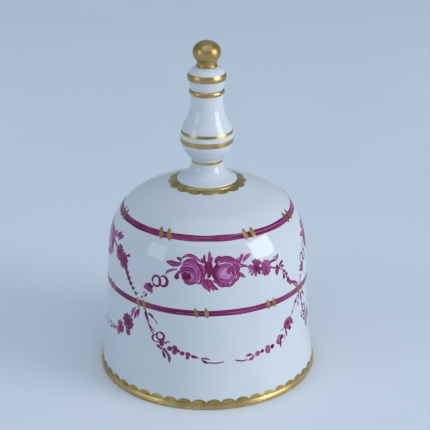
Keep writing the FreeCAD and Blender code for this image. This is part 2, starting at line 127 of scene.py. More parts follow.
def wall_run(inset, top, corner_round):
    """The wall's line from above the rim's round up to the top height, moved inwards by the inset."""
    flare = FLARE_RADIUS + inset
    side_sign = 1 if inset == 0 else -1
    reach = flare + side_sign * corner_round
    foot = math.degrees(math.asin((WAIST_HEIGHT - corner_round) / reach))
    crown = CROWN_RADIUS - inset
    crown_end = math.degrees(math.asin((top - CROWN_CENTRE[1]) / crown))
    corner = polar(FLARE_CENTRE, reach, 180 + foot)
    run = joined(
        arc(FLARE_CENTRE, flare, 180 + foot, 180, 0.4),
        arc(SIDE_CENTRE, SIDE_RADIUS - inset, 0, SIDE_SPAN, 0.5),
        arc(SHOULDER_CENTRE, SHOULDER_RADIUS - inset, SIDE_SPAN, CROWN_ANGLE, 2.0),
        arc(CROWN_CENTRE, crown, CROWN_ANGLE, crown_end, 0.5),
    )
    return run, corner, foot


def shell_profile():
    outer, outer_corner, outer_foot = wall_run(0, SEAT_HEIGHT, RIM_OUTER_ROUND)
    inner, inner_corner, inner_foot = wall_run(WALL, CEILING_HEIGHT, RIM_INNER_ROUND)
    return joined(
        arc(outer_corner, RIM_OUTER_ROUND, -90, outer_foot, 9),
        outer,
        line(outer[-1], (ROD_HOLE, SEAT_HEIGHT), 4),
        line((ROD_HOLE, SEAT_HEIGHT), (ROD_HOLE, CEILING_HEIGHT), 2),
        line((ROD_HOLE, CEILING_HEIGHT), inner[-1], 4),
        inner[::-1],
        arc(inner_corner, RIM_INNER_ROUND, 180 + inner_foot, 270, 9),
    )


STEM_WAIST = (5.6, 79.8)
BELLY = (9.5, 88.3)
NECK = (5.75, 102.3)
FOOT_EDGE = (10.5, 73.5)
FOOT_RADIUS = 10.8
COVE_RADIUS = 6.5
BULB_LOWER, BULB_UPPER = 8.5, 11.5
BEAD = (104.55, 106.35)
COLLAR_BOTTOM, COLLAR_TOP = (6.7, 109.9), (6.55, 112.1)
HANDLE_TOP = (3.75, 114.4)
RECESS_RADIUS, RECESS_TOP = 8.6, 73.15


def handle_outside():
    """The turned outside of the handle, from its foot up."""
    low_reach = STEM_WAIST[0] - (BELLY[0] - BULB_LOWER)
    low_drop = BELLY[1] - STEM_WAIST[1]
    fillet = (low_reach ** 2 + low_drop ** 2 - BULB_LOWER ** 2) / (2 * (BULB_LOWER - low_reach))
    high_reach = NECK[0] - (BELLY[0] - BULB_UPPER)
    high_rise = NECK[1] - BELLY[1]
    taper = (high_reach ** 2 + high_rise ** 2 - BULB_UPPER ** 2) / (2 * (BULB_UPPER - high_reach))
    low_angle = math.degrees(math.atan2(low_drop, low_reach + fillet))
    high_angle = math.degrees(math.atan2(high_rise, high_reach + taper))
    cove_turn = math.degrees(math.asin((STEM_WAIST[1] - FOOT_EDGE[1]) / COVE_RADIUS))
    bead_bottom, bead_top = (NECK[0], BEAD[0]), (NECK[0], BEAD[1])
    return joined(
        arc_between((FOOT_RADIUS, SEAT_HEIGHT), FOOT_EDGE, 0.9),
        arc((STEM_WAIST[0] + COVE_RADIUS, STEM_WAIST[1]), COVE_RADIUS, 180 + cove_turn, 180),
        arc((STEM_WAIST[0] + fillet, STEM_WAIST[1]), fillet, 180, 180 - low_angle),
        arc((BELLY[0] - BULB_LOWER, BELLY[1]), BULB_LOWER, -low_angle, 0),
        arc((BELLY[0] - BULB_UPPER, BELLY[1]), BULB_UPPER, 0, high_angle, 2),
        arc((NECK[0] + taper, NECK[1]), taper, 180 + high_angle, 180, 2),
        line(NECK, bead_bottom, 4),
        arc_between(bead_bottom, bead_top, 1.05, 10),
        line(bead_top, COLLAR_BOTTOM, 6),
        arc_between(COLLAR_BOTTOM, COLLAR_TOP, 2.6, 6),
        arc_between(COLLAR_TOP, HANDLE_TOP, 4.2, 5),
    )


def handle_profile():
    return joined(
        line((RECESS_RADIUS, SEAT_HEIGHT), (FOOT_RADIUS, SEAT_HEIGHT), 2),
        handle_outside(),
        line(HANDLE_TOP, (ROD_HOLE, HANDLE_TOP[1]), 2),
        arc_between((ROD_HOLE, 82.5), (ROD_HOLE, 99.0), 10.9)[::-1],
        line((ROD_HOLE, 82.5), (ROD_HOLE, RECESS_TOP), 6),
        line((ROD_HOLE, RECESS_TOP), (RECESS_RADIUS, RECESS_TOP), 4),
    )


def fillet(start, corner, end, steps=12):
    """A soft curve from start to end that rounds off the corner."""
    points = []
    for i in range(steps + 1):
        t = i / steps
        points.append(tuple(
            (1 - t) ** 2 * a + 2 * t * (1 - t) * b + t * t * c for a, b, c in zip(start, corner, end)
        ))
    return points


def finial_profile():
    """The gilt ball nut. It starts and ends on the axis."""
    side_radius, middle_height, top = 3.7, 119.5, 123.65
    middle = (4.98 - side_radius, middle_height)
    rise = top - middle_height
    top_radius = (middle[0] ** 2 + rise ** 2 - side_radius ** 2) / (2 * (rise - side_radius))
    top_centre = (0, top - top_radius)
    low = math.degrees(math.asin((116.5 - middle_height) / side_radius))
    high = math.degrees(math.atan2(middle_height - top_centre[1], middle[0]))
    soft = low + 15
    bore = 2.05
    return joined(
        line((0, 119.6), (bore, 119.6)),
        line((bore, 119.6), (bore, 114.4), 5),
        line((bore, 114.4), (3.60, 114.4), 2),
        arc((3.60, 114.55), 0.15, -90, 0, 18),
        arc((3.60, 114.85), 0.15, 0, 90, 18),
        line((3.55, 115.02), (3.5, 115.2), 2),
        fillet((3.5, 115.2), polar(middle, side_radius, low), polar(middle, side_radius, soft)),
        arc(middle, side_radius, soft, high),
        arc(top_centre, top_radius, high, 90),
    )


def table_of(points):
    """The rising part of a profile, for looking its radius up by height."""
    rising = [points[0]]
    for point in points[1:]:
        if point[1] > rising[-1][1] + 1e-6:
            rising.append(point)
    return rising


def look_up(table, height):
    """Radius and outward slope angle of a profile at a height."""
    low, high = 0, len(table) - 1
    while high - low > 1:
        middle = (low + high) // 2
        if table[middle][1] <= height:
            low = middle
        else:
            high = middle
    (r0, z0), (r1, z1) = table[low], table[high]
    part = min(1.0, max(0.0, (height - z0) / (z1 - z0)))
    return r0 + (r1 - r0) * part, math.atan2(r0 - r1, z1 - z0)


OUTSIDE, RIM_CORNER, _ = wall_run(0, SEAT_HEIGHT, RIM_OUTER_ROUND)
SHELL_TABLE = table_of(OUTSIDE)
HANDLE_TABLE = table_of(handle_outside())


def spun(azimuth, radius, height):
    """A point at an azimuth counted from the front (-Y) towards +X, in metres."""
    return (radius * math.sin(azimuth) * MM, -radius * math.cos(azimuth) * MM, height * MM)


def lifted(azimuth, radius, height, tilt, lift):
    return spun(azimuth, radius + lift * math.cos(tilt), height + lift * math.sin(tilt))


def wall_point(height):
    """Radius and tilt of the shell's outside at a height, down to the foot of its outer round."""
    if height >= SHELL_TABLE[0][1]:
        return look_up(SHELL_TABLE, height)
    drop = min(1.0, (RIM_CORNER[1] - height) / RIM_OUTER_ROUND)
    angle = -math.asin(drop)
    return RIM_CORNER[0] + RIM_OUTER_ROUND * math.cos(angle), angle


def on_wall(across, height, lift):
    """A point on the shell. Across is measured round the waist from the front."""
    radius, tilt = wall_point(height)
    return lifted(across / WAIST_RADIUS, radius, height, tilt, lift)


def on_crown(azimuth, radius, lift):
    """A point on the nearly flat crown, by its radius."""
    run = radius - CROWN_CENTRE[0]
    height = CROWN_CENTRE[1] + math.sqrt(CROWN_RADIUS ** 2 - run ** 2)
    tilt = math.acos(run / CROWN_RADIUS)
    return lifted(azimuth, radius, min(height, SEAT_HEIGHT), tilt, lift)


def on_handle(azimuth, height, lift):
    radius, tilt = look_up(HANDLE_TABLE, height)
    return lifted(azimuth, radius, height, tilt, lift)


# ---------------------------------------------------------------- meshes

class Mesh:
    """Points and faces of closed solids that make one piece, with a tone from 0 to 1 at each point."""

    def __init__(self):
        self.points = []
        self.tones = []
        self.faces = []

    def add(self, point, tone=0.5):
        self.points.append(point)
        self.tones.append(tone)
        return len(self.points) - 1

    def sleeve(self, loops, tones=None, closed=False):
        """Skins a row of loops with the same number of points, and caps or closes the ends."""
        rows = []
        for i, loop in enumerate(loops):
            rows.append([self.add(p, tones[i][k] if tones else 0.5) for k, p in enumerate(loop)])
        count = len(rows[0])
        pairs = list(zip(rows, rows[1:]))
        if closed:
            pairs.append((rows[-1], rows[0]))
        for a, b in pairs:
            for k in range(count):
                n = (k + 1) % count
                self.faces.append((a[k], a[n], b[n], b[k]))
        if not closed:
            self.faces.append(tuple(reversed(rows[0])))
            self.faces.append(tuple(rows[-1]))

    def lathe(self, profile, steps=LATHE_STEPS):
        """Turns a closed profile, or one that starts and ends on the axis."""
        if profile[0][0] > 0:
            loops = [[spun(TURN * i / steps, r, z) for r, z in profile] for i in range(steps)]
            self.sleeve(loops, closed=True)
            return
        first = self.add(spun(0, *profile[0]))
        last = self.add(spun(0, *profile[-1]))
        rows = [
            [self.add(spun(TURN * i / steps, r, z)) for r, z in profile[1:-1]]
            for i in range(steps)
        ]
        for i in range(steps):
            a, b = rows[i], rows[(i + 1) % steps]
            self.faces.append((first, a[0], b[0]))
            self.faces.append((last, b[-1], a[-1]))
            for k in range(len(a) - 1):
                self.faces.append((a[k], a[k + 1], b[k + 1], b[k]))

    def build(self, name, material, body, slot, nodes=(), sharp=40):
        mesh = bpy.data.meshes.new(name)
        mesh.from_pydata(self.points, [], self.faces)
        mesh.update()
        tone = mesh.attributes.new("tone", "FLOAT", "POINT")
        tone.data.foreach_set("value", self.tones)
        mesh.materials.append(material)
        mesh.shade_smooth()
        mesh.set_sharp_from_angle(angle=math.radians(sharp))
        piece = bpy.data.objects.new(name, mesh)
        bpy.context.scene.collection.objects.link(piece)
        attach(piece, body)
        if nodes:
            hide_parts(*nodes)
        return piece


def layer_loop(place, edges, base, crown, columns):
    """One cross-section of a thin fired layer: domed above the glaze and closed just below it."""
    (a0, b0), (a1, b1) = edges
    loop = []
    for k in range(columns + 1):
        part = k / columns
        dome = 1 - (2 * part - 1) ** 2
        loop.append(place(a0 + (a1 - a0) * part, b0 + (b1 - b0) * part, base + (crown - base) * dome))
    under = max(2, columns // 2)
    for k in range(under, -1, -1):
        part = k / under
        loop.append(place(a0 + (a1 - a0) * part, b0 + (b1 - b0) * part, LAYER_DEPTH))
    return loop


def loop_tones(middle, edge, columns):
    """Pigment gathers at the edges of a stroke."""
    tones = [middle + edge * abs(2 * k / columns - 1) ** 2 for k in range(columns + 1)]
    return tones + [middle] * (max(2, columns // 2) + 1)


def side_step(path, i):
    """The unit direction across a path at one of its points, to its left."""
    before, after = path[max(0, i - 1)], path[min(len(path) - 1, i + 1)]
    run, rise = after[0] - before[0], after[1] - before[1]
    size = math.hypot(run, rise) or 1.0
    return (-rise / size, run / size)


class Brush(Mesh):
    """Strokes of a loaded brush on a surface."""

    def __init__(self, place, base=ENAMEL_EDGE, crown=ENAMEL_CROWN, seed=1):
        super().__init__()
        self.place = place
        self.base = base
        self.crown = crown
        self.random = random.Random(seed)
        self.count = 0
        self.shift = (0.0, 0.0)

    def stroke(self, path, half_width, tone, fade=0.10, edge=0.14):
        """A stroke along a path. half_width(t) and the path run from 0 to 1."""
        length = sum(math.dist(p, q) for p, q in zip(path, path[1:]))
        stations = max(8, math.ceil(length / STATION_LENGTH))
        spine = smooth_path(path, stations)
        widest = max(half_width(i / stations) for i in range(stations + 1))
        columns = 4 if widest < BROAD_HALF_WIDTH else 6
        lift = self.base + LAYER_STEP * self.count
        self.count += 1
        wobble = self.random.uniform(0, TURN)
        loops, tones = [], []
        for i, (across, height) in enumerate(spine):
            side = side_step(spine, i)
            t = i / stations
            half = max(LEAST_HALF_WIDTH, half_width(t) * (1 + WAVER * math.sin(9 * t + wobble)))
            across += self.shift[0]
            height += self.shift[1]
            edges = (
                (across - side[0] * half, height - side[1] * half),
                (across + side[0] * half, height + side[1] * half),
            )
            crown = lift + (self.crown - self.base) * min(1, half / 0.5, 1.2 / widest ** 2)
            loops.append(layer_loop(self.place, edges, lift, crown, columns))
            tones.append(loop_tones(tone + fade * (0.5 - t), edge, columns))
        self.sleeve(loops, tones)

    # The painter's few kinds of stroke.

    def leaf(self, start, end, width, tone, bend=0.1, fat=0.5):
        """A pressed stroke, fat part way along and pointed at its end."""
        run, rise = end[0] - start[0], end[1] - start[1]
        middle = ((start[0] + end[0]) / 2 - rise * bend, (start[1] + end[1]) / 2 + run * bend)
        power = math.log(0.5) / math.log(fat)
        self.stroke(
            [start, middle, end],
            lambda t: width / 2 * math.sin(math.pi * min(1, max(0, t)) ** power) ** 0.75,
            tone,
        )

    def trail(self, path, width, tone):
        """A thin brushed line that starts softly and runs out."""
        self.stroke(path, lambda t: width / 2 * min(1, 6 * (1 - t) + 0.15) * min(1, 10 * t + 0.35), tone)

    def blob(self, centre, across, up, tone, turn=0.0):
        """An oval touch of the brush."""
        angle = math.radians(turn)
        reach = (math.cos(angle) * across, math.sin(angle) * across)
        path = [
            (centre[0] - reach[0], centre[1] - reach[1]),
            centre,
            (centre[0] + reach[0], centre[1] + reach[1]),
        ]
        self.stroke(path, lambda t: up * math.sqrt(max(0.0, 1 - (2 * t - 1) ** 2)), tone)

    def sweep(self, centre, radius, first, last, width, tone, shape=0.8):
        """A curved petal stroke on an arc round a centre, fattest at its middle. Angles are in degrees."""
        path = arc(centre, radius, first, last, 18, 3)
        self.stroke(path, lambda t: width / 2 * math.sin(math.pi * t) ** shape, tone)

    def ring(self, centre, across, up, width, tone, start, heavy=0.0):
        """A small ring of ribbon. Its line is heavier towards the right by the share given."""
        pieces, reach = 24, 352
        path = []
        for i in range(pieces + 1):
            angle = math.radians(start + reach * i / pieces)
            path.append((centre[0] + across * math.cos(angle), centre[1] + up * math.sin(angle)))

        def half_width(t):
            side = math.cos(math.radians(start + reach * t))
            return width / 2 * (1 + heavy * side) * min(1, 12 * t + 0.5, 12 * (1 - t) + 0.4)

        self.stroke(path, half_width, tone)

    def petals(self, centre, radius, angles, width, tone):
        for degrees in angles:
            start, end = polar(centre, radius * 0.15, degrees), polar(centre, radius, degrees)
            shade = tone + self.random.uniform(-0.12, 0.12)
            self.leaf(start, end, width, shade, self.random.uniform(-0.08, 0.08), 0.66)

    def streaked(self, path, width, tone, hairs=3):
        """A broad petal: a wash with the dark hair lines of the brush along it."""
        def half_width(t):
            return width / 2 * math.sin(math.pi * (0.04 + 0.92 * t)) ** 0.7

        self.stroke(path, half_width, tone - 0.20, 0.1, 0.22)
        for hair in range(hairs):
            offset = (hair - (hairs - 1) / 2) / hairs * width * 0.78
            moved = []
            for i, (across, height) in enumerate(path):
                side = side_step(path, i)
                narrow = 0.55 if i in (0, len(path) - 1) else 1.0
                moved.append((across + side[0] * offset * narrow, height + side[1] * offset * narrow))
            half = width * self.random.uniform(0.09, 0.13)
            shade = tone + self.random.uniform(0.0, 0.18)
            self.stroke(moved, lambda t: half * math.sin(math.pi * (0.06 + 0.88 * t)) ** 0.6, shade)

    def round_petal(self, centre, radius, first, last, width, tone, hairs=3):
        """A streaked petal on an arc. Angles are in degrees."""
        self.streaked(arc(centre, radius, first, last, 22, 3), width, tone, hairs)

    def ruffle(self, centre, reach, radius, angles, width, tone):
        """Overlapping outer petals, each on an arc of its own, round an open rose."""
        for degrees in angles:
            own = polar(centre, reach, degrees)
            shade = tone + self.random.uniform(-0.14, 0.14)
            self.round_petal(own, radius, degrees + 72, degrees - 72, width, shade, 2)

    def flower(self, centre, across, up, angles, width, tone, heart, heart_size):
        """A small full flower: a wash, fat petals over it and a dark heart."""
        self.blob(centre, across * 0.55, up * 0.55, tone - 0.18)
        for degrees in angles:
            angle = math.radians(degrees)
            reach = (across * math.cos(angle), up * math.sin(angle))
            start = (centre[0] + reach[0] * 0.12, centre[1] + reach[1] * 0.12)
            end = (centre[0] + reach[0], centre[1] + reach[1])
            shade = tone + self.random.uniform(-0.14, 0.14)
            self.leaf(start, end, width, shade, self.random.uniform(-0.08, 0.08), 0.66)
        self.blob(centre, heart_size, heart_size * 0.9, heart, 60)

    def hatch(self, centre, across, up, turn, count, tone):
        """A bud built up from side-by-side strokes."""
        self.blob(centre, across, up, tone - 0.28, turn)
        angle = math.radians(turn)
        for i in range(count):
            part = (i + 0.5) / count * 2 - 1
            reach = up * math.sqrt(max(0.05, 1 - part * part)) * 0.98
            middle = polar(centre, across * part, turn)
            side = (-math.sin(angle) * reach, math.cos(angle) * reach)
            start = (middle[0] - side[0], middle[1] - side[1])
            end = (middle[0] + side[0], middle[1] + side[1])
            shade = tone + self.random.uniform(-0.12, 0.16)
            self.leaf(start, end, across * 1.35 / count, shade)

    def bud(self, centre, radius, turn, tone):
        """An oval bud with dark crescents round a lighter middle."""
        self.blob(centre, radius, radius * 0.85, tone - 0.05, turn)
        self.sweep(centre, radius * 0.72, turn + 70, turn + 290, radius * 0.55, tone + 0.30)
        self.sweep(centre, radius * 0.62, turn - 40, turn + 50, radius * 0.40, tone + 0.15)

    def berry(self, centre, radius):
        self.blob(centre, radius, radius * 0.9, 0.98, 30)
        light = (centre[0] - radius * 0.3, centre[1] + radius * 0.3)
        self.blob(light, radius * 0.28, radius * 0.22, 0.62, 30)


def smooth_path(path, stations):
    """Points evenly along a Catmull-Rom curve through the path."""
    if len(path) == 2:
        path = [path[0], ((path[0][0] + path[1][0]) / 2, (path[0][1] + path[1][1]) / 2), path[1]]
    ends = [path[0]] + list(path) + [path[-1]]
    fine = []
    for a, b, c, d in zip(ends, ends[1:], ends[2:], ends[3:]):
        for k in range(8):
            t = k / 8
            fine.append(tuple(
                0.5 * (2 * b[j] + (c[j] - a[j]) * t + (2 * a[j] - 5 * b[j] + 4 * c[j] - d[j]) * t * t
                       + (3 * b[j] - a[j] - 3 * c[j] + d[j]) * t ** 3)
                for j in (0, 1)
            ))
    fine.append(tuple(path[-1]))
    lengths = [0.0]
    for p, q in zip(fine, fine[1:]):
        lengths.append(lengths[-1] + math.dist(p, q))
    result, k = [], 0
    for i in range(stations + 1):
        target = lengths[-1] * i / stations
        while k < len(fine) - 2 and lengths[k + 1] < target:
            k += 1
        span = lengths[k + 1] - lengths[k] or 1.0
        part = min(1.0, (target - lengths[k]) / span)
        result.append(tuple(fine[k][j] + (fine[k + 1][j] - fine[k][j]) * part for j in (0, 1)))
    return result


# ---------------------------------------------------------------- materials

def colour(red, green, blue):
    """An 8-bit screen colour as the linear colour that shaders take."""
    parts = []
    for value in (red, green, blue):
        value /= 255
        parts.append(value / 12.92 if value <= 0.04045 else ((value + 0.055) / 1.055) ** 2.4)
    return (*parts, 1.0)


class Shader:
    """A node material that is put together from small steps."""

    def __init__(self, name, **constants):
        self.material = bpy.data.materials.new(name)
        self.material.use_nodes = True
        self.nodes = self.material.node_tree.nodes
        self.links = self.material.node_tree.links
        self.surface = self.nodes["Principled BSDF"]
        for socket, value in constants.items():
            self.surface.inputs[socket.replace("_", " ")].default_value = value
        self.where = self.nodes.new("ShaderNodeTexCoord").outputs["Object"]

    def link(self, output, node, socket):
        self.links.new(output, node.inputs[socket])

    def math(self, operation, first, second=0.0):
        node = self.nodes.new("ShaderNodeMath")
        node.operation = operation
        for index, value in enumerate((first, second)):
            if isinstance(value, (int, float)):
                node.inputs[index].default_value = value
            else:
                self.link(value, node, index)
        return node.outputs[0]

    def stretched(self, x, y, z):
        node = self.nodes.new("ShaderNodeMapping")
        node.inputs["Scale"].default_value = (x, y, z)
        self.link(self.where, node, "Vector")
        return node.outputs[0]

    def unrolled(self, round_scale, height_scale):
        """Coordinates (way round the waist, height), for marks that run round the axis."""
        split = self.nodes.new("ShaderNodeSeparateXYZ")
        self.link(self.where, split, "Vector")
        node = self.nodes.new("ShaderNodeMath")
        node.operation = "ARCTAN2"
        self.link(split.outputs["X"], node, 0)
        self.link(split.outputs["Y"], node, 1)
        joined_up = self.nodes.new("ShaderNodeCombineXYZ")
        self.link(self.math("MULTIPLY", node.outputs[0], WAIST_RADIUS * MM * round_scale), joined_up, "X")
        self.link(self.math("MULTIPLY", split.outputs["Z"], height_scale), joined_up, "Y")
        return joined_up.outputs[0]

    def height(self):
        split = self.nodes.new("ShaderNodeSeparateXYZ")
        self.link(self.where, split, "Vector")
        return split.outputs["Z"]

    def noise(self, scale, detail=3.0, rough=0.5, vector=None):
        node = self.nodes.new("ShaderNodeTexNoise")
        node.inputs["Scale"].default_value = scale
        node.inputs["Detail"].default_value = detail
        node.inputs["Roughness"].default_value = rough
        self.link(vector or self.where, node, "Vector")
        return node.outputs[0]

    def cells(self, scale, feature="F1", output="Distance"):
        node = self.nodes.new("ShaderNodeTexVoronoi")
        node.feature = feature
        node.inputs["Scale"].default_value = scale
        self.link(self.where, node, "Vector")
        return node.outputs[output]

    def band(self, value, low, high, to_low=0.0, to_high=1.0):
        node = self.nodes.new("ShaderNodeMapRange")
        ends = {"From Min": low, "From Max": high, "To Min": to_low, "To Max": to_high}
        for socket, number in ends.items():
            node.inputs[socket].default_value = number
        self.link(value, node, "Value")
        return node.outputs["Result"]

    def ramp(self, value, *stops):
        node = self.nodes.new("ShaderNodeValToRGB")
        points = node.color_ramp.elements
        while len(points) < len(stops):
            points.new(0.5)
        for point, (position, tint) in zip(points, stops):
            point.position = position
            point.color = tint
        self.link(value, node, "Fac")
        return node.outputs["Color"]

    def mix(self, factor, first, second):
        node = self.nodes.new("ShaderNodeMix")
        node.data_type = "RGBA"
        self.link(factor, node, 0)
        for index, value in ((6, first), (7, second)):
            if isinstance(value, tuple):
                node.inputs[index].default_value = value
            else:
                self.link(value, node, index)
        return node.outputs[2]

    def bump(self, value, strength, distance):
        node = self.nodes.new("ShaderNodeBump")
        node.inputs["Strength"].default_value = strength
        node.inputs["Distance"].default_value = distance
        self.link(value, node, "Height")
        self.link(node.outputs["Normal"], self.surface, "Normal")

    def set(self, socket, value):
        self.link(value, self.surface, socket)


def porcelain_material():
    """Cool white body under clear glaze: faint waves, a few pinholes, and a bare ground land."""
    shader = Shader("porcelain", IOR=1.5)
    cloud = shader.noise(22.0, 3.0)
    tint = shader.ramp(
        cloud,
        (0.30, colour(206, 213, 218)),
        (0.70, colour(214, 220, 224)),
    )
    speck = shader.band(shader.cells(300.0), 0.035, 0.055)
    tint = shader.mix(speck, colour(196, 200, 200), tint)
    land = (0.00004, 0.00022)
    bare = shader.band(shader.height(), *land)
    shader.set("Base Color", shader.mix(bare, colour(214, 208, 198), tint))
    gloss = shader.band(shader.noise(60.0, 2.0), 0.3, 0.7, 0.055, 0.10)
    matt = shader.band(shader.height(), *land, 0.5, 0.0)
    shader.set("Roughness", shader.math("ADD", gloss, matt))
    shader.bump(shader.noise(85.0, 2.0, 0.4), 0.10, 0.00035)
    return shader.material


def gilding_material():
    """Burnished gold that is a little thin and rubbed in places."""
    shader = Shader("gilding", Metallic=1.0)
    brushed = shader.noise(1.0, 4.0, 0.6, shader.unrolled(420.0, 2600.0))
    worn = shader.noise(240.0, 4.0, 0.6)
    mixed = shader.math("ADD", shader.math("MULTIPLY", brushed, 0.5), shader.math("MULTIPLY", worn, 0.5))
    load = shader.nodes.new("ShaderNodeAttribute")
    load.attribute_name = "tone"
    depth = shader.math("ADD", mixed, shader.band(load.outputs["Fac"], 0.0, 1.0, -0.24, 0.24))
    shader.set("Base Color", shader.ramp(
        depth,
        (0.26, colour(116, 96, 54)),
        (0.42, colour(166, 138, 82)),
        (0.56, colour(200, 170, 108)),
        (0.72, colour(232, 208, 150)),
    ))
    shader.set("Roughness", shader.band(mixed, 0.35, 0.65, 0.42, 0.24))
    shader.bump(mixed, 0.25, 0.00006)
    return shader.material


def enamel_material():
    """Puce enamel whose depth of colour follows the load of the brush."""
    shader = Shader("enamel_puce", IOR=1.36)
    node = shader.nodes.new("ShaderNodeAttribute")
    node.attribute_name = "tone"
    streaks = shader.noise(1.0, 4.0, 0.6, shader.unrolled(650.0, 3200.0))
    grain = shader.noise(1500.0, 3.0, 0.6)
    tone = shader.math("ADD", node.outputs["Fac"], shader.band(streaks, 0.3, 0.7, -0.13, 0.13))
    tone = shader.math("ADD", tone, shader.band(grain, 0.3, 0.7, -0.10, 0.10))
    shader.set("Base Color", shader.ramp(
        tone,
        (0.00, colour(216, 176, 210)),
        (0.28, colour(186, 108, 168)),
        (0.55, colour(152, 50, 118)),
        (0.80, colour(122, 24, 80)),
        (1.00, colour(94, 10, 48)),
    ))
    shader.set("Roughness", shader.band(grain, 0.3, 0.7, 0.14, 0.26))
    shader.bump(grain, 0.15, 0.00003)
    return shader.material


def brass_material():
    """Drawn and turned brass with fine tool lines and a little dulling."""
    shader = Shader("brass", Metallic=1.0)
    lines = shader.noise(1.0, 3.0, 0.5, shader.stretched(300.0, 300.0, 5200.0))
    dull = shader.noise(260.0, 4.0, 0.6)
    shader.set("Base Color", shader.ramp(
        dull,
        (0.30, colour(150, 116, 58)),
        (0.55, colour(200, 164, 92)),
        (0.75, colour(216, 182, 108)),
    ))
    shader.set("Roughness", shader.band(dull, 0.3, 0.7, 0.40, 0.20))
    shader.bump(lines, 0.20, 0.00005)
    return shader.material


def cork_material():
    """Pressed cork granules with darker seams."""
    shader = Shader("cork", Roughness=0.88)
    granule = shader.cells(1300.0, "F1", "Color")
    seam = shader.band(shader.cells(1300.0, "DISTANCE_TO_EDGE"), 0.0, 0.09)
    share = shader.math("MULTIPLY", granule, 0.6)
    tint = shader.ramp(
        shader.math("ADD", share, shader.math("MULTIPLY", shader.noise(2600.0), 0.4)),
        (0.25, colour(122, 88, 56)),
        (0.70, colour(186, 148, 104)),
    )
    shader.set("Base Color", shader.mix(seam, colour(84, 58, 36), tint))
    shader.bump(seam, 0.5, 0.0001)
    return shader.material


def floor_material():
    shader = Shader("pale_floor", Roughness=0.55)
    shader.set("Base Color", shader.ramp(
        shader.noise(9.0, 3.0),
        (0.3, colour(232, 238, 244)),
        (0.7, colour(236, 242, 248)),
    ))
    return shader.material


PORCELAIN = porcelain_material()
GILDING = gilding_material()
ENAMEL = enamel_material()
BRASS = brass_material()
CORK = cork_material()


# ---------------------------------------------------------------- porcelain and gilt finial

def turned(name, profile, material, slot, node):
    mesh = Mesh()
    mesh.lathe(profile)
    return mesh.build(name, material, "bell", slot, (node,))


turned("shell", shell_profile(), PORCELAIN, "porcelain", "bell_body")
turned("baluster_handle", handle_profile(), PORCELAIN, "porcelain", "handle")
turned("finial_nut", finial_profile(), GILDING, "gilding", "finial_ball")

for node, finish in (
    ("tie_rod", BRASS),
    ("inner_washer", BRASS),
    ("retaining_nut", BRASS),
    ("hanger_link", BRASS),
    ("clapper_stem", BRASS),
    ("clapper_ball", BRASS),
    ("crown_gasket", CORK),
    ("inner_gasket", CORK),
):
    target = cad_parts[node]
    target.data.materials.clear()
    target.data.materials.append(finish)


# ---------------------------------------------------------------- gilding

def waver(random_source, size):
    """A slow hand-drawn wobble that closes on itself round the piece."""
    waves = [(n, random_source.uniform(0.3, 1.0), random_source.uniform(0, TURN)) for n in (3, 7, 12, 19)]

    def value(azimuth):
        return size * sum(weight * math.sin(n * azimuth + phase) for n, weight, phase in waves) / 2

    return value


def gilt_band(name, place, low, high, columns, seed, tone, wobble=0.03, steps=LATHE_STEPS,
              base=GOLD_EDGE, crown=GOLD_CROWN):
    """A gilt band all round, between two heights or two radii. high can be a function of the azimuth."""
    source = random.Random(seed)
    low_waver, high_waver = waver(source, wobble), waver(source, wobble)
    mesh = Mesh()
    loops, tones = [], []
    for i in range(steps):
        azimuth = TURN * i / steps
        top = high(azimuth) if callable(high) else high
        edges = ((azimuth, low + low_waver(azimuth)), (azimuth, top + high_waver(azimuth)))
        loops.append(layer_loop(place, edges, base, crown, columns))
        tones.append(loop_tones(tone, 0.0, columns))
    mesh.sleeve(loops, tones, closed=True)
    return mesh.build(name, GILDING, "bell", "gilding")


def scallops(count, valley, top, phase=0.0):
    """Height of a border of round lobes, by azimuth."""
    def value(azimuth):
        part = ((azimuth * count / TURN) + phase) % 1.0
        lobe = math.sqrt(max(0.0, 1 - (2 * part - 1) ** 2))
        return valley + (top - valley) * lobe

    return value


def wall_at(azimuth, height, lift):
    return on_wall(azimuth * WAIST_RADIUS, height, lift)


RIM_SCALLOPS, CROWN_SCALLOPS = 48, 16
RIM_BORDER = scallops(RIM_SCALLOPS, 2.55, 4.1, 0.085)
CROWN_BORDER = scallops(CROWN_SCALLOPS, 12.95, 14.1, 15 / 36)
gilt_band("rim_scallops", wall_at, 2.0, RIM_BORDER, 6, 11, 0.40, steps=RIM_SCALLOPS * 20)
gilt_band("rim_line", wall_at, 0.03, 2.35, 10, 13, 0.62, base=0.02, crown=0.16)
gilt_band("crown_scallops", on_crown, 11.2, CROWN_BORDER, 6, 12, 0.52, 0.04, CROWN_SCALLOPS * 36)
gilt_band("crown_line", on_crown, 10.6, 11.75, 8, 14, 0.48, base=0.02, crown=0.40)

for seed, (name, low, high) in enumerate((
    ("gilt_stem_ring", 79.45, 80.45),
    ("gilt_bulb_wide", 86.95, 88.85),
    ("gilt_bulb_thin", 90.50, 91.55),
    ("gilt_bead", 104.50, 106.40),
    ("gilt_collar", 109.85, 112.30),
), start=21):
    gilt_band(name, on_handle, low, high, 8, seed, 0.55, 0.05)


# ---------------------------------------------------------------- painted rings, ticks and garlands

# Azimuths in degrees where two swags meet, and the spans between them all the way round.
ANCHORS = (-39.0, 64.3, 149.9, 235.5)
SPANS = tuple(zip(ANCHORS, ANCHORS[1:] + (ANCHORS[0] + 360,)))
LOWER_RING, UPPER_RING = (35.65, 37.85), (61.50, 63.25)
RING_STREAKS = 14
REPEAT = 66.7  # way round from one anchor to the next in the front swag


def round_to(degrees):
    """Way round the waist, in mm, of an azimuth in degrees."""
    return math.radians(degrees) * WAIST_RADIUS


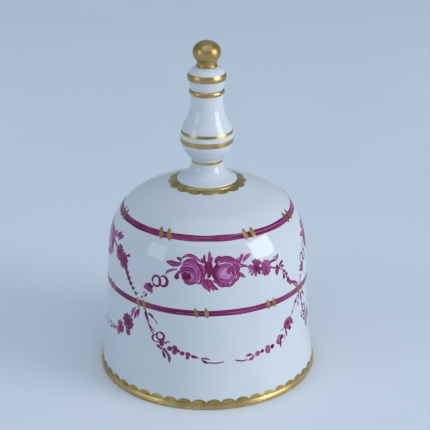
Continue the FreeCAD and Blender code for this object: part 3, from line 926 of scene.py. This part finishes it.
def ring_piece(name, low, high, first, last, seed):
    """A quarter or so of a painted ring, between two azimuths in degrees, streaked along its length."""
    source = random.Random(seed)
    steps = math.ceil((last - first) / 0.75)
    phases = [source.uniform(0, TURN) for _ in range(4)]
    brush = Brush(on_wall, seed=seed)
    loops, tones = [], []
    columns = 8
    for i in range(steps + 1):
        part = i / steps
        across = round_to(first + (last - first) * part)
        calm = math.sin(math.pi * part) ** 0.5
        low_edge = low + 0.05 * calm * math.sin(31 * part + phases[0])
        high_edge = high + 0.05 * calm * math.sin(27 * part + phases[1])
        edges = ((across, low_edge), (across, high_edge))
        loops.append(layer_loop(on_wall, edges, ENAMEL_EDGE, ENAMEL_CROWN, columns))
        tones.append(loop_tones(0.62 + 0.06 * math.sin(17 * part + phases[2]), 0.20, columns))
    brush.sleeve(loops, tones)
    start, end = round_to(first), round_to(last)
    for i in range(RING_STREAKS):
        brush.count = 4 + i % 6
        length = source.uniform(7, 22)
        left = source.uniform(start + 0.5, end - length - 0.5)
        level = low + (high - low) * source.uniform(0.16, 0.84)
        path = [(left + length * k / 4, level + source.uniform(-0.06, 0.06)) for k in range(5)]
        half = source.uniform(0.10, 0.24)
        tone = source.choice((0.44, 0.82, 0.94, 1.0))
        brush.stroke(path, lambda t: half * math.sin(math.pi * t) ** 0.35, tone, 0, 0)
    return brush.build(name, ENAMEL, "bell", "enamel_puce")


def tick_pair(brush, across, spread, low, high, lean, half):
    """Two short slanted touches of gold over a ring."""
    for side in (-1, 1):
        foot = across + side * spread / 2 + brush.random.uniform(-0.10, 0.10)
        path = [(foot + lean, low), (foot, (low + high) / 2), (foot - lean, high)]
        brush.stroke(path, lambda t: half * (1 - (2 * t - 1) ** 2) ** 0.42, 0.35, 0, 0)


LOWER_TICKS = ((-39.0, -3.3, 37.3), (64.3, 92.8, 121.4), (149.9, 178.4, 207.0), (235.5, 264.0, 292.6))
UPPER_TICKS = ((-28.3, 28.0), (68.0, 112.0), (155.0, 199.0), (242.0, 285.0))

for index, (first, last) in enumerate(SPANS):
    ring_piece(f"puce_ring_lower_{index + 1}", *LOWER_RING, first, last, 31 + index)
    ring_piece(f"puce_ring_upper_{index + 1}", *UPPER_RING, first, last, 41 + index)
    ticks = Brush(on_wall, 0.034, 0.085, 51 + index)
    for place, degrees in enumerate(LOWER_TICKS[index]):
        drop = 0.6 if place == 0 else 0.0
        spread = 3.5 if place == 1 else 2.8
        tick_pair(ticks, round_to(degrees), spread, 35.0 - drop, 38.8 - drop / 2, 0.40, 0.68)
    for degrees in UPPER_TICKS[index]:
        tick_pair(ticks, round_to(degrees), 3.8, 60.95, 64.25, 1.0 if degrees < 0 else 0.55, 0.92)
    ticks.build(f"gold_ticks_{index + 1}", GILDING, "bell", "gilding")


# The garlands. Lengths are from the left anchor, where two swags meet under a pair of gold ticks.

def anchor_spray(brush):
    """Dashes and a small four-petalled flower where the swag starts."""
    brush.leaf((-0.4, 38.5), (0.9, 40.0), 0.62, 0.68, 0.0, 0.55)
    brush.leaf((1.3, 39.6), (2.7, 41.4), 0.85, 0.75, 0.0)
    brush.leaf((0.7, 40.7), (1.8, 41.7), 0.55, 0.50)
    brush.blob((3.4, 43.7), 1.5, 1.6, 0.42)
    brush.leaf((3.0, 43.2), (0.9, 43.9), 1.35, 0.52, 0.1, 0.55)
    brush.leaf((3.1, 44.1), (1.6, 45.0), 1.0, 0.55, 0.1, 0.55)
    brush.leaf((3.4, 43.6), (4.0, 45.6), 1.35, 0.80, 0.1, 0.55)
    brush.leaf((3.8, 43.8), (5.2, 44.8), 1.05, 0.92, 0.0, 0.55)
    brush.leaf((3.4, 43.9), (4.6, 41.7), 1.45, 0.55, 0.1, 0.55)
    brush.leaf((3.2, 43.6), (2.6, 42.3), 0.8, 0.60, 0.1, 0.55)


def ribbon_rings(brush):
    brush.ring((6.30, 46.8), 1.62, 1.88, 0.86, 0.74, 210)
    brush.ring((9.0, 47.2), 1.62, 1.80, 0.86, 0.80, 130, 0.30)


def tendril(brush):
    """The curved leaf, the big leaf above it and the hooked petal beside the rose."""
    brush.streaked([(9.8, 49.5), (10.4, 50.8), (12.0, 51.7), (14.4, 52.4)], 0.95, 0.60, 2)
    brush.streaked([(9.9, 54.4), (11.8, 54.2), (13.8, 54.0), (15.8, 54.6)], 1.95, 0.70)
    brush.leaf((15.9, 55.0), (13.6, 56.2), 1.05, 0.70, -0.12, 0.55)
    brush.streaked([(14.0, 49.0), (14.2, 50.3), (15.1, 51.4), (16.6, 52.0)], 1.2, 0.72, 2)
    brush.blob((14.15, 49.6), 1.0, 0.95, 0.70)
    brush.trail([(15.4, 51.9), (16.4, 53.0), (17.2, 53.8)], 0.45, 0.5)


def rose_left(brush):
    """An open rose that looks down to the left."""
    middle = (18.9, 51.1)
    brush.blob((19.4, 51.0), 3.9, 3.4, 0.30, 10)
    brush.blob((19.2, 54.0), 3.2, 1.8, 0.30, -8)
    brush.ruffle((19.5, 51.3), 2.4, 2.30, (22, -28), 1.25, 0.66)
    brush.streaked([(15.4, 55.9), (17.6, 57.2), (20.2, 56.9), (23.8, 54.9)], 1.15, 0.62)
    brush.streaked([(16.3, 54.9), (18.4, 55.8), (20.9, 55.3), (23.2, 53.2)], 1.15, 0.70)
    brush.round_petal(middle, 4.4, 58, -24, 1.15, 0.80)
    brush.round_petal((18.9, 51.0), 3.5, -50, -128, 0.85, 0.74, 2)
    brush.round_petal(middle, 3.5, 172, 108, 1.0, 0.60)
    brush.round_petal(middle, 3.3, 112, 38, 0.95, 0.50)
    brush.round_petal(middle, 3.1, 34, -42, 0.95, 0.55)
    for radius, first, last, tone in (
        (2.6, 165, -55, 0.72),
        (2.1, 160, -20, 0.50),
        (1.6, 150, 5, 0.66),
        (2.3, -60, -150, 0.62),
    ):
        brush.sweep((18.4, 50.7), radius, first, last, 0.42, tone, 0.5)
    brush.blob((17.8, 50.1), 1.55, 1.2, 0.98, -15)
    for across, height, turn in (
        (16.5, 50.6, 60),
        (17.1, 51.3, -30),
        (18.9, 49.6, 20),
        (17.0, 49.2, 130),
        (18.7, 50.9, 75),
    ):
        brush.blob((across, height), 0.62, 0.34, 1.0, turn)
    brush.sweep((17.9, 50.3), 0.75, 210, 60, 0.26, 0.55)


def tuft_between(brush):
    """Leaves above, between and below the two roses."""
    brush.blob((25.6, 53.6), 1.7, 2.3, 0.62)
    brush.leaf((24.6, 54.6), (24.2, 57.9), 1.1, 0.78)
    brush.leaf((25.6, 54.9), (26.0, 58.9), 1.35, 0.50, -0.05, 0.55)
    brush.leaf((25.7, 55.4), (26.1, 58.2), 0.45, 0.80, -0.05, 0.55)
    brush.leaf((26.3, 55.0), (27.0, 57.2), 0.8, 0.62, -0.10)
    brush.leaf((23.9, 54.9), (23.0, 56.8), 0.8, 0.60)
    brush.streaked([(24.3, 55.0), (25.1, 53.5), (25.6, 51.6), (25.4, 49.6)], 1.15, 0.92)
    brush.streaked([(26.0, 55.3), (26.5, 53.4), (26.4, 51.4), (25.9, 49.8)], 1.0, 0.96, 2)
    brush.leaf((24.3, 53.2), (24.4, 50.2), 0.55, 0.70)
    brush.leaf((27.6, 54.9), (30.3, 57.2), 1.25, 0.66, 0.08, 0.55)
    brush.blob((25.3, 48.0), 1.9, 1.5, 0.60)
    brush.streaked([(23.4, 49.4), (23.7, 47.6), (24.9, 45.8)], 1.25, 0.60)
    brush.streaked([(24.4, 49.4), (24.9, 47.2), (26.1, 44.9)], 1.45, 0.70)
    brush.streaked([(25.6, 49.4), (26.2, 47.2), (27.6, 45.3)], 1.35, 0.66, 2)
    brush.streaked([(26.3, 49.2), (27.2, 46.9), (29.1, 45.5)], 1.25, 0.78, 2)
    brush.leaf((27.0, 48.9), (29.8, 46.8), 1.1, 0.55)
    brush.leaf((23.0, 49.4), (22.4, 47.6), 0.9, 0.60)


def rose_right(brush):
    """A fuller rose, pale inside, with its dark side to the left."""
    middle = (31.9, 51.5)
    brush.blob((31.9, 51.6), 4.0, 4.1, 0.24)
    brush.ruffle((31.9, 51.5), 2.5, 2.35, (20, -28, -72, -112), 1.2, 0.58)
    brush.round_petal(middle, 4.3, 128, 236, 1.5, 0.98)
    brush.round_petal(middle, 3.5, 120, 232, 0.9, 0.74, 2)
    brush.streaked([(28.2, 54.9), (30.4, 56.3), (33.4, 56.3), (37.0, 54.4)], 1.35, 0.72)
    brush.streaked([(29.6, 55.0), (31.8, 55.4), (34.4, 54.9), (38.6, 53.4)], 1.1, 0.56)
    brush.round_petal(middle, 3.9, 52, -8, 0.85, 0.66, 2)
    brush.streaked([(27.7, 49.4), (29.4, 47.7), (32.6, 46.9)], 0.95, 0.72, 2)
    brush.streaked([(28.6, 50.0), (30.4, 48.4), (33.6, 47.9)], 0.9, 0.60, 2)
    brush.blob((31.9, 51.5), 2.9, 2.9, 0.16)
    for radius, first, last, width, tone in (
        (3.0, 200, -150, 0.45, 0.56),
        (2.35, 215, -80, 0.42, 0.60),
        (1.7, 160, -20, 0.36, 0.44),
        (2.6, -70, -160, 0.40, 0.50),
    ):
        brush.sweep(middle, radius, first, last, width, tone, 0.5)
    brush.blob((33.2, 52.2), 1.15, 0.95, 0.52, 30)
    brush.blob((33.5, 52.4), 0.62, 0.42, 0.92, 25)
    brush.sweep((33.2, 51.8), 1.5, 80, -70, 0.5, 0.82)
    brush.sweep((33.1, 51.9), 0.95, -170, -40, 0.34, 0.74)
    brush.sweep((33.6, 51.4), 2.2, 40, -60, 0.5, 0.68)


def rose_sprays(brush):
    """Leaves to the right of the roses, up, out and down."""
    brush.streaked([(35.6, 51.2), (37.2, 50.3), (38.9, 48.9)], 1.35, 0.68, 2)
    brush.leaf((36.6, 54.0), (36.6, 56.3), 1.1, 0.45)
    brush.leaf((37.0, 53.9), (38.9, 57.2), 1.45, 0.50, 0.08, 0.6)
    brush.leaf((38.0, 54.1), (41.9, 56.8), 1.45, 0.42, 0.08, 0.6)
    brush.leaf((39.2, 55.0), (41.4, 56.4), 0.4, 0.75, 0.05, 0.6)
    brush.trail([(37.0, 52.9), (39.4, 52.9), (41.6, 51.9)], 0.60, 0.62)
    brush.trail([(37.3, 53.6), (38.9, 53.4), (40.0, 52.9)], 0.40, 0.45)


def daisies(brush):
    brush.flower(
        (47.7, 50.7), 2.6, 3.1,
        (95, 60, 28, -8, -42, -75, -108, -140, 175, 140),
        1.45, 0.56, 0.62, 0.7,
    )
    brush.flower((43.4, 51.6), 3.0, 3.3, (116, 90, 62, 30, -24, -60, -92), 1.15, 0.70, 0.98, 0.9)
    brush.petals((43.3, 51.4), 3.2, (145, 172, 200, 230), 0.9, 0.42)
    brush.blob((43.6, 51.3), 1.15, 0.7, 1.0, 75)
    brush.leaf((44.0, 51.9), (46.8, 49.6), 0.7, 0.92, 0.0, 0.4)
    brush.leaf((49.2, 51.9), (50.9, 52.4), 0.9, 0.80, 0.0)


def end_sprig(brush):
    """A thin sprig that runs down from the daisies."""
    brush.trail([(50.4, 52.3), (52.8, 52.4), (53.9, 54.1)], 0.95, 0.60)
    brush.leaf((51.2, 52.9), (53.0, 53.5), 0.55, 0.45)
    brush.trail([(49.9, 50.2), (51.8, 49.5), (53.6, 49.7)], 0.60, 0.70)
    brush.leaf((53.4, 50.3), (52.5, 46.4), 1.8, 0.66, -0.05, 0.6)
    brush.leaf((53.2, 51.0), (52.2, 48.6), 0.7, 0.88, 0.0, 0.6)
    brush.leaf((53.6, 49.5), (56.3, 50.9), 1.15, 0.80, 0.05, 0.6)
    brush.leaf((53.9, 49.4), (56.6, 48.7), 1.05, 0.60, 0.05, 0.6)
    brush.leaf((53.2, 49.6), (54.4, 48.0), 0.9, 0.50, 0.05, 0.6)
    brush.leaf((54.3, 48.4), (56.0, 47.4), 0.7, 0.30, 0.05, 0.6)


def end_curls(brush):
    """Small curls that lead down to the next anchor."""
    brush.sweep((56.3, 45.9), 1.0, 150, 20, 1.05, 0.85)
    brush.sweep((56.9, 44.7), 1.1, 130, -20, 0.95, 0.80)
    brush.leaf((55.6, 46.4), (56.0, 43.8), 1.2, 0.75, 0.1, 0.6)
    brush.leaf((57.0, 45.8), (58.0, 44.4), 1.0, 0.60)
    brush.leaf((56.7, 44.6), (57.9, 43.9), 0.7, 0.40)
    brush.blob((58.3, 43.3), 0.85, 0.7, 0.85, 20)
    brush.leaf((57.4, 42.6), (58.9, 42.1), 0.8, 0.68)
    brush.leaf((58.3, 41.9), (59.9, 40.4), 0.9, 0.55)
    brush.trail([(58.7, 42.9), (60.4, 41.2), (62.4, 40.6), (65.0, 38.7)], 1.0, 0.62)
    brush.trail([(59.0, 41.6), (61.0, 40.9), (63.0, 39.0), (65.2, 37.7)], 0.62, 0.50)


def dense_daisies(brush):
    """The same two daisies in a narrower swag, painted bigger and closer."""
    brush.flower(
        (46.2, 51.0), 3.2, 3.3,
        (100, 68, 35, 0, -35, -70, -105, -140, 178, 142),
        1.6, 0.62, 0.98, 1.1,
    )
    brush.flower(
        (49.4, 49.3), 3.0, 3.2,
        (80, 45, 12, -25, -60, -95, -130, -165, 160, 120),
        1.5, 0.70, 0.90, 1.0,
    )
    brush.leaf((42.8, 54.6), (44.2, 58.0), 1.4, 0.60, 0.1, 0.6)
    brush.leaf((43.4, 54.4), (46.6, 57.2), 1.5, 0.55, 0.1, 0.6)
    brush.trail([(40.6, 53.2), (42.4, 52.6), (44.0, 51.6)], 0.8, 0.65)
    brush.leaf((51.0, 51.6), (53.4, 52.0), 1.1, 0.75, 0.1, 0.6)


def tight_chain(brush):
    """The same end in a narrower swag: a straight chain of pressed touches."""
    for across, height, reach, width in (
        (54.0, 48.5, 1.7, 2.2),
        (55.2, 46.9, 1.6, 2.1),
        (56.3, 45.3, 1.5, 1.9),
        (57.4, 43.7, 1.5, 1.8),
        (58.6, 42.1, 1.3, 1.5),
        (59.9, 40.7, 1.0, 1.2),
        (61.5, 39.2, 0.9, 1.0),
    ):
        tone = 0.80 + brush.random.uniform(-0.12, 0.15)
        start, end = (across - 0.55, height + reach), (across + 0.55, height - reach * 0.6)
        brush.leaf(start, end, width, tone, 0.06, 0.55)
        brush.leaf((across + 0.3, height), (across + 1.5, height + 0.7), width * 0.5, tone - 0.2, 0.1, 0.6)
    brush.leaf((52.4, 49.9), (54.0, 49.4), 1.1, 0.60, 0.1, 0.6)


def raised_berries(brush):
    """The same stem, buds and berries, a little higher, in a narrower swag."""
    brush.shift = (brush.shift[0] - 1.2, brush.shift[1] + 2.0)
    garland_berries(brush)


def full_cluster(brush):
    """The rosebud end of a narrower swag: full little flowers close under the anchor."""
    brush.flower(
        (57.2, 27.0), 3.3, 3.4,
        (95, 62, 30, -5, -38, -72, -108, -142, 178, 140),
        1.6, 0.66, 0.95, 1.2,
    )
    brush.flower(
        (52.6, 23.2), 2.5, 2.6,
        (100, 60, 20, -20, -60, -100, -145, 170, 135),
        1.25, 0.60, 0.90, 0.8,
    )
    brush.flower((57.4, 22.9), 1.5, 1.6, (90, 30, -30, -90, -150, 150), 0.9, 0.62, 0.88, 0.5)
    brush.leaf((59.2, 29.4), (61.8, 34.4), 1.2, 0.42, 0.08)
    brush.leaf((60.9, 29.2), (63.0, 33.9), 1.2, 0.58, 0.08)
    brush.leaf((63.4, 34.4), (62.4, 30.4), 0.9, 0.70, 0.0, 0.4)


def hanging_stems(brush):
    """Stems that fall from the anchor to the bow."""
    brush.leaf((1.9, 34.7), (3.4, 30.0), 1.40, 0.82, -0.05, 0.4)
    brush.trail([(2.6, 32.4), (3.4, 29.4), (4.3, 27.4), (5.6, 26.0)], 0.62, 0.68)
    brush.trail([(3.6, 29.4), (4.6, 28.3), (5.9, 27.3)], 0.62, 0.60)
    brush.leaf((3.0, 33.9), (5.4, 32.2), 1.15, 0.84)
    brush.trail([(4.8, 33.1), (6.2, 31.6), (7.2, 30.3)], 0.45, 0.50)


def bow(brush):
    """A small ring bow with two ribbon ends and a cluster of buds."""
    brush.blob((8.6, 23.3), 1.1, 1.0, 0.22, 40)
    brush.ring((8.05, 26.1), 1.50, 1.38, 0.84, 0.76, 120, 0.1)
    brush.sweep((6.2, 24.8), 1.35, 80, 300, 0.88, 0.70)
    brush.leaf((7.0, 24.7), (9.4, 22.9), 0.8, 0.85)
    brush.leaf((9.6, 25.2), (7.9, 22.6), 0.7, 0.66)
    brush.trail([(6.6, 24.0), (7.6, 23.6), (8.8, 24.2)], 0.55, 0.62)
    brush.leaf((8.3, 24.8), (8.9, 21.9), 0.95, 0.88, 0.0)
    brush.leaf((9.4, 24.0), (10.6, 23.6), 0.75, 0.75)
    brush.leaf((9.9, 23.9), (12.0, 24.6), 0.60, 0.55)
    brush.leaf((6.5, 22.4), (8.9, 21.0), 1.1, 0.75, 0.05, 0.45)
    brush.leaf((8.7, 21.6), (10.1, 17.9), 1.2, 0.76, 0.0, 0.7)
    brush.trail([(9.2, 21.8), (10.7, 20.2), (11.6, 18.6), (11.7, 16.6)], 1.05, 0.62)
    brush.bud((11.7, 22.0), 1.05, 200, 0.70)
    brush.bud((13.6, 22.6), 1.05, 140, 0.76)
    brush.bud((13.5, 20.9), 0.98, 260, 0.62)
    brush.bud((14.8, 21.6), 0.80, 30, 0.62)


def garland_buds(brush):
    """Buds and touches that lead into the thin middle of the lower swag."""
    brush.bud((16.3, 20.9), 0.92, 30, 0.72)
    brush.bud((18.3, 20.7), 1.0, 150, 0.60)
    brush.bud((18.2, 19.4), 0.72, 60, 0.66)
    brush.leaf((19.3, 20.4), (22.3, 19.3), 0.80, 0.80, 0.05, 0.4)
    brush.leaf((19.4, 19.8), (21.2, 19.3), 0.55, 0.62, 0.05, 0.4)
    brush.leaf((22.8, 19.3), (26.2, 18.9), 0.75, 0.58, 0.10, 0.4)
    brush.leaf((23.1, 19.0), (25.7, 17.6), 0.95, 0.80, -0.08)
    brush.trail([(25.3, 17.9), (28.2, 17.6), (31.2, 18.0)], 0.50, 0.55)


def garland_berries(brush):
    """Thin stem, leaves, buds and berries in the right half of the lower swag."""
    brush.trail([(34.8, 18.2), (37.0, 17.5), (39.6, 17.5)], 0.60, 0.50)
    brush.leaf((38.7, 18.9), (41.6, 18.9), 1.05, 0.60, 0.12)
    brush.leaf((39.6, 17.2), (42.2, 18.7), 1.15, 0.52, -0.10)
    brush.hatch((43.4, 19.0), 1.05, 1.0, 10, 4, 0.62)
    brush.berry((45.25, 19.4), 0.76)
    brush.hatch((47.7, 19.4), 1.15, 1.75, 8, 4, 0.58)
    brush.berry((49.7, 19.9), 0.92)


def rosebud_cluster(brush):
    """The half-open buds under the right anchor."""
    brush.hatch((52.9, 20.9), 1.25, 1.5, 20, 4, 0.52)
    brush.blob((54.3, 21.9), 1.15, 0.9, 0.88, 30)
    brush.leaf((53.9, 21.6), (53.7, 18.0), 1.0, 0.70, 0.0)
    brush.leaf((52.2, 22.6), (53.9, 22.9), 0.7, 0.70, 0.0)
    brush.leaf((53.9, 24.3), (55.4, 24.9), 0.6, 0.55, 0.0)
    brush.leaf((56.4, 24.2), (57.3, 20.9), 0.95, 0.50, 0.05, 0.4)
    brush.leaf((56.0, 22.6), (55.9, 19.8), 0.5, 0.25, 0.05, 0.4)
    brush.blob((58.0, 26.0), 2.6, 2.1, 0.42, 20)
    brush.hatch((58.1, 26.1), 2.5, 2.15, 25, 7, 0.66)
    brush.blob((57.7, 26.1), 1.0, 0.8, 0.95, 30)
    brush.leaf((59.6, 27.2), (60.9, 24.3), 1.0, 0.85, 0.1, 0.55)
    brush.berry((59.1, 23.6), 0.85)


def rising_leaves(brush):
    """Leaves and stem that climb to the right anchor."""
    brush.leaf((60.4, 28.6), (61.4, 30.0), 1.0, 0.58, 0.0)
    brush.trail([(60.2, 28.2), (61.8, 30.6), (63.6, 33.0), (65.0, 35.1)], 0.50, 0.45)
    brush.leaf((61.9, 32.9), (64.2, 32.0), 0.85, 0.62, 0.05)
    brush.leaf((62.3, 32.2), (64.4, 33.7), 0.85, 0.56, 0.05)
    brush.leaf((62.9, 31.4), (63.5, 33.6), 0.8, 0.66, 0.05)
    brush.leaf((64.7, 34.8), (64.0, 33.3), 0.7, 0.62, 0.05)
    brush.leaf((65.6, 34.9), (65.2, 32.0), 0.75, 0.68, 0.05)
    brush.leaf((65.0, 32.6), (65.2, 29.3), 0.85, 0.58, 0.05, 0.6)


UPPER_SWAG = (
    (3.0, anchor_spray),
    (8.0, ribbon_rings),
    (13.4, tendril),
    (19.6, rose_left),
    (25.6, tuft_between),
    (32.8, rose_right),
    (38.8, rose_sprays),
    (45.6, daisies),
    (53.6, end_sprig),
    (60.5, end_curls),
)
NARROW_UPPER_SWAG = UPPER_SWAG[:-3] + ((45.6, dense_daisies), (60.5, tight_chain))
LOWER_SWAG = (
    (3.6, hanging_stems),
    (10.0, bow),
    (23.0, garland_buds),
    (43.0, garland_berries),
    (56.0, rosebud_cluster),
    (62.4, rising_leaves),
)
NARROW_LOWER_SWAG = LOWER_SWAG[:-3] + ((43.0, raised_berries), (60.0, full_cluster))
LEANS = (0.0, -3.5, 0.0, 3.5)


def swag(name, motifs, first, last, lean, seed):
    """One swag between two anchors. The narrower swags bring their motifs closer together."""
    start = round_to(first)
    room = round_to(last) - start
    brush = Brush(on_wall, seed=seed)
    for centre, paint in motifs:
        target = centre * room / REPEAT + lean * math.sin(math.pi * centre / REPEAT)
        drift = 0.0 if abs(room - REPEAT) < 0.5 else 1.0
        brush.shift = (
            start + target - centre + drift * brush.random.uniform(-0.25, 0.25),
            drift * brush.random.uniform(-0.35, 0.35),
        )
        brush.count = 0
        paint(brush)
    return brush.build(name, ENAMEL, "bell", "enamel_puce")


for index, (first, last) in enumerate(SPANS):
    upper = UPPER_SWAG if index == 0 else NARROW_UPPER_SWAG
    lower = LOWER_SWAG if index == 0 else NARROW_LOWER_SWAG
    swag(f"garland_upper_{index + 1}", upper, first, last, LEANS[index], 61 + index)
    swag(f"garland_lower_{index + 1}", lower, first, last, LEANS[index], 71 + index)


# ---------------------------------------------------------------- floor, lights and camera

def make_floor():
    size = 3.0
    corners = [(-size, -size, 0), (size, -size, 0), (size, size, 0), (-size, size, 0)]
    mesh = bpy.data.meshes.new("floor")
    mesh.from_pydata(corners, [], [(0, 1, 2, 3)])
    mesh.materials.append(floor_material())
    floor = bpy.data.objects.new("floor", mesh)
    bpy.context.scene.collection.objects.link(floor)


def area_light(name, place, target, width, height, power, tint):
    data = bpy.data.lights.new(name, "AREA")
    data.shape = "RECTANGLE"
    data.size = width
    data.size_y = height
    data.energy = power
    data.color = tint
    lamp = bpy.data.objects.new(name, data)
    bpy.context.scene.collection.objects.link(lamp)
    lamp.location = place
    aim = Vector([end - start for start, end in zip(place, target)])
    lamp.rotation_euler = aim.to_track_quat("-Z", "Y").to_euler()


make_floor()
BELL_MIDDLE = (0, 0, 0.06)
DAYLIGHT, COOL_LIGHT = (0.98, 0.99, 1.0), (0.92, 0.96, 1.0)
area_light("window_right", (2.80, -1.12, 0.94), BELL_MIDDLE, 1.60, 1.84, 51.0, DAYLIGHT)
area_light("window_left", (-2.64, -1.44, 0.78), BELL_MIDDLE, 1.20, 1.36, 10.4, COOL_LIGHT)
area_light("ceiling", (0.05, -0.40, 0.95), (0, -0.1, 0.0), 1.2, 1.0, 2.2, COOL_LIGHT)

world = bpy.data.worlds.new("room")
world.use_nodes = True
background = world.node_tree.nodes["Background"]
background.inputs["Color"].default_value = colour(176, 194, 214)
background.inputs["Strength"].default_value = 0.72
bpy.context.scene.world = world

CAMERA_DOWN, CAMERA_TURN = 22.97, -0.375  # degrees below level, and round the upright axis
camera_data = bpy.data.cameras.new("camera")
camera_data.lens = 108.84
camera_data.sensor_width = 36.0
camera = bpy.data.objects.new("camera", camera_data)
bpy.context.scene.collection.objects.link(camera)
camera.location = (0.0, -0.4369, 0.2433)
camera.rotation_euler = (math.radians(90 - CAMERA_DOWN), 0.0, math.radians(CAMERA_TURN))
bpy.context.scene.camera = camera
bpy.context.scene.view_settings.view_transform = "Standard"
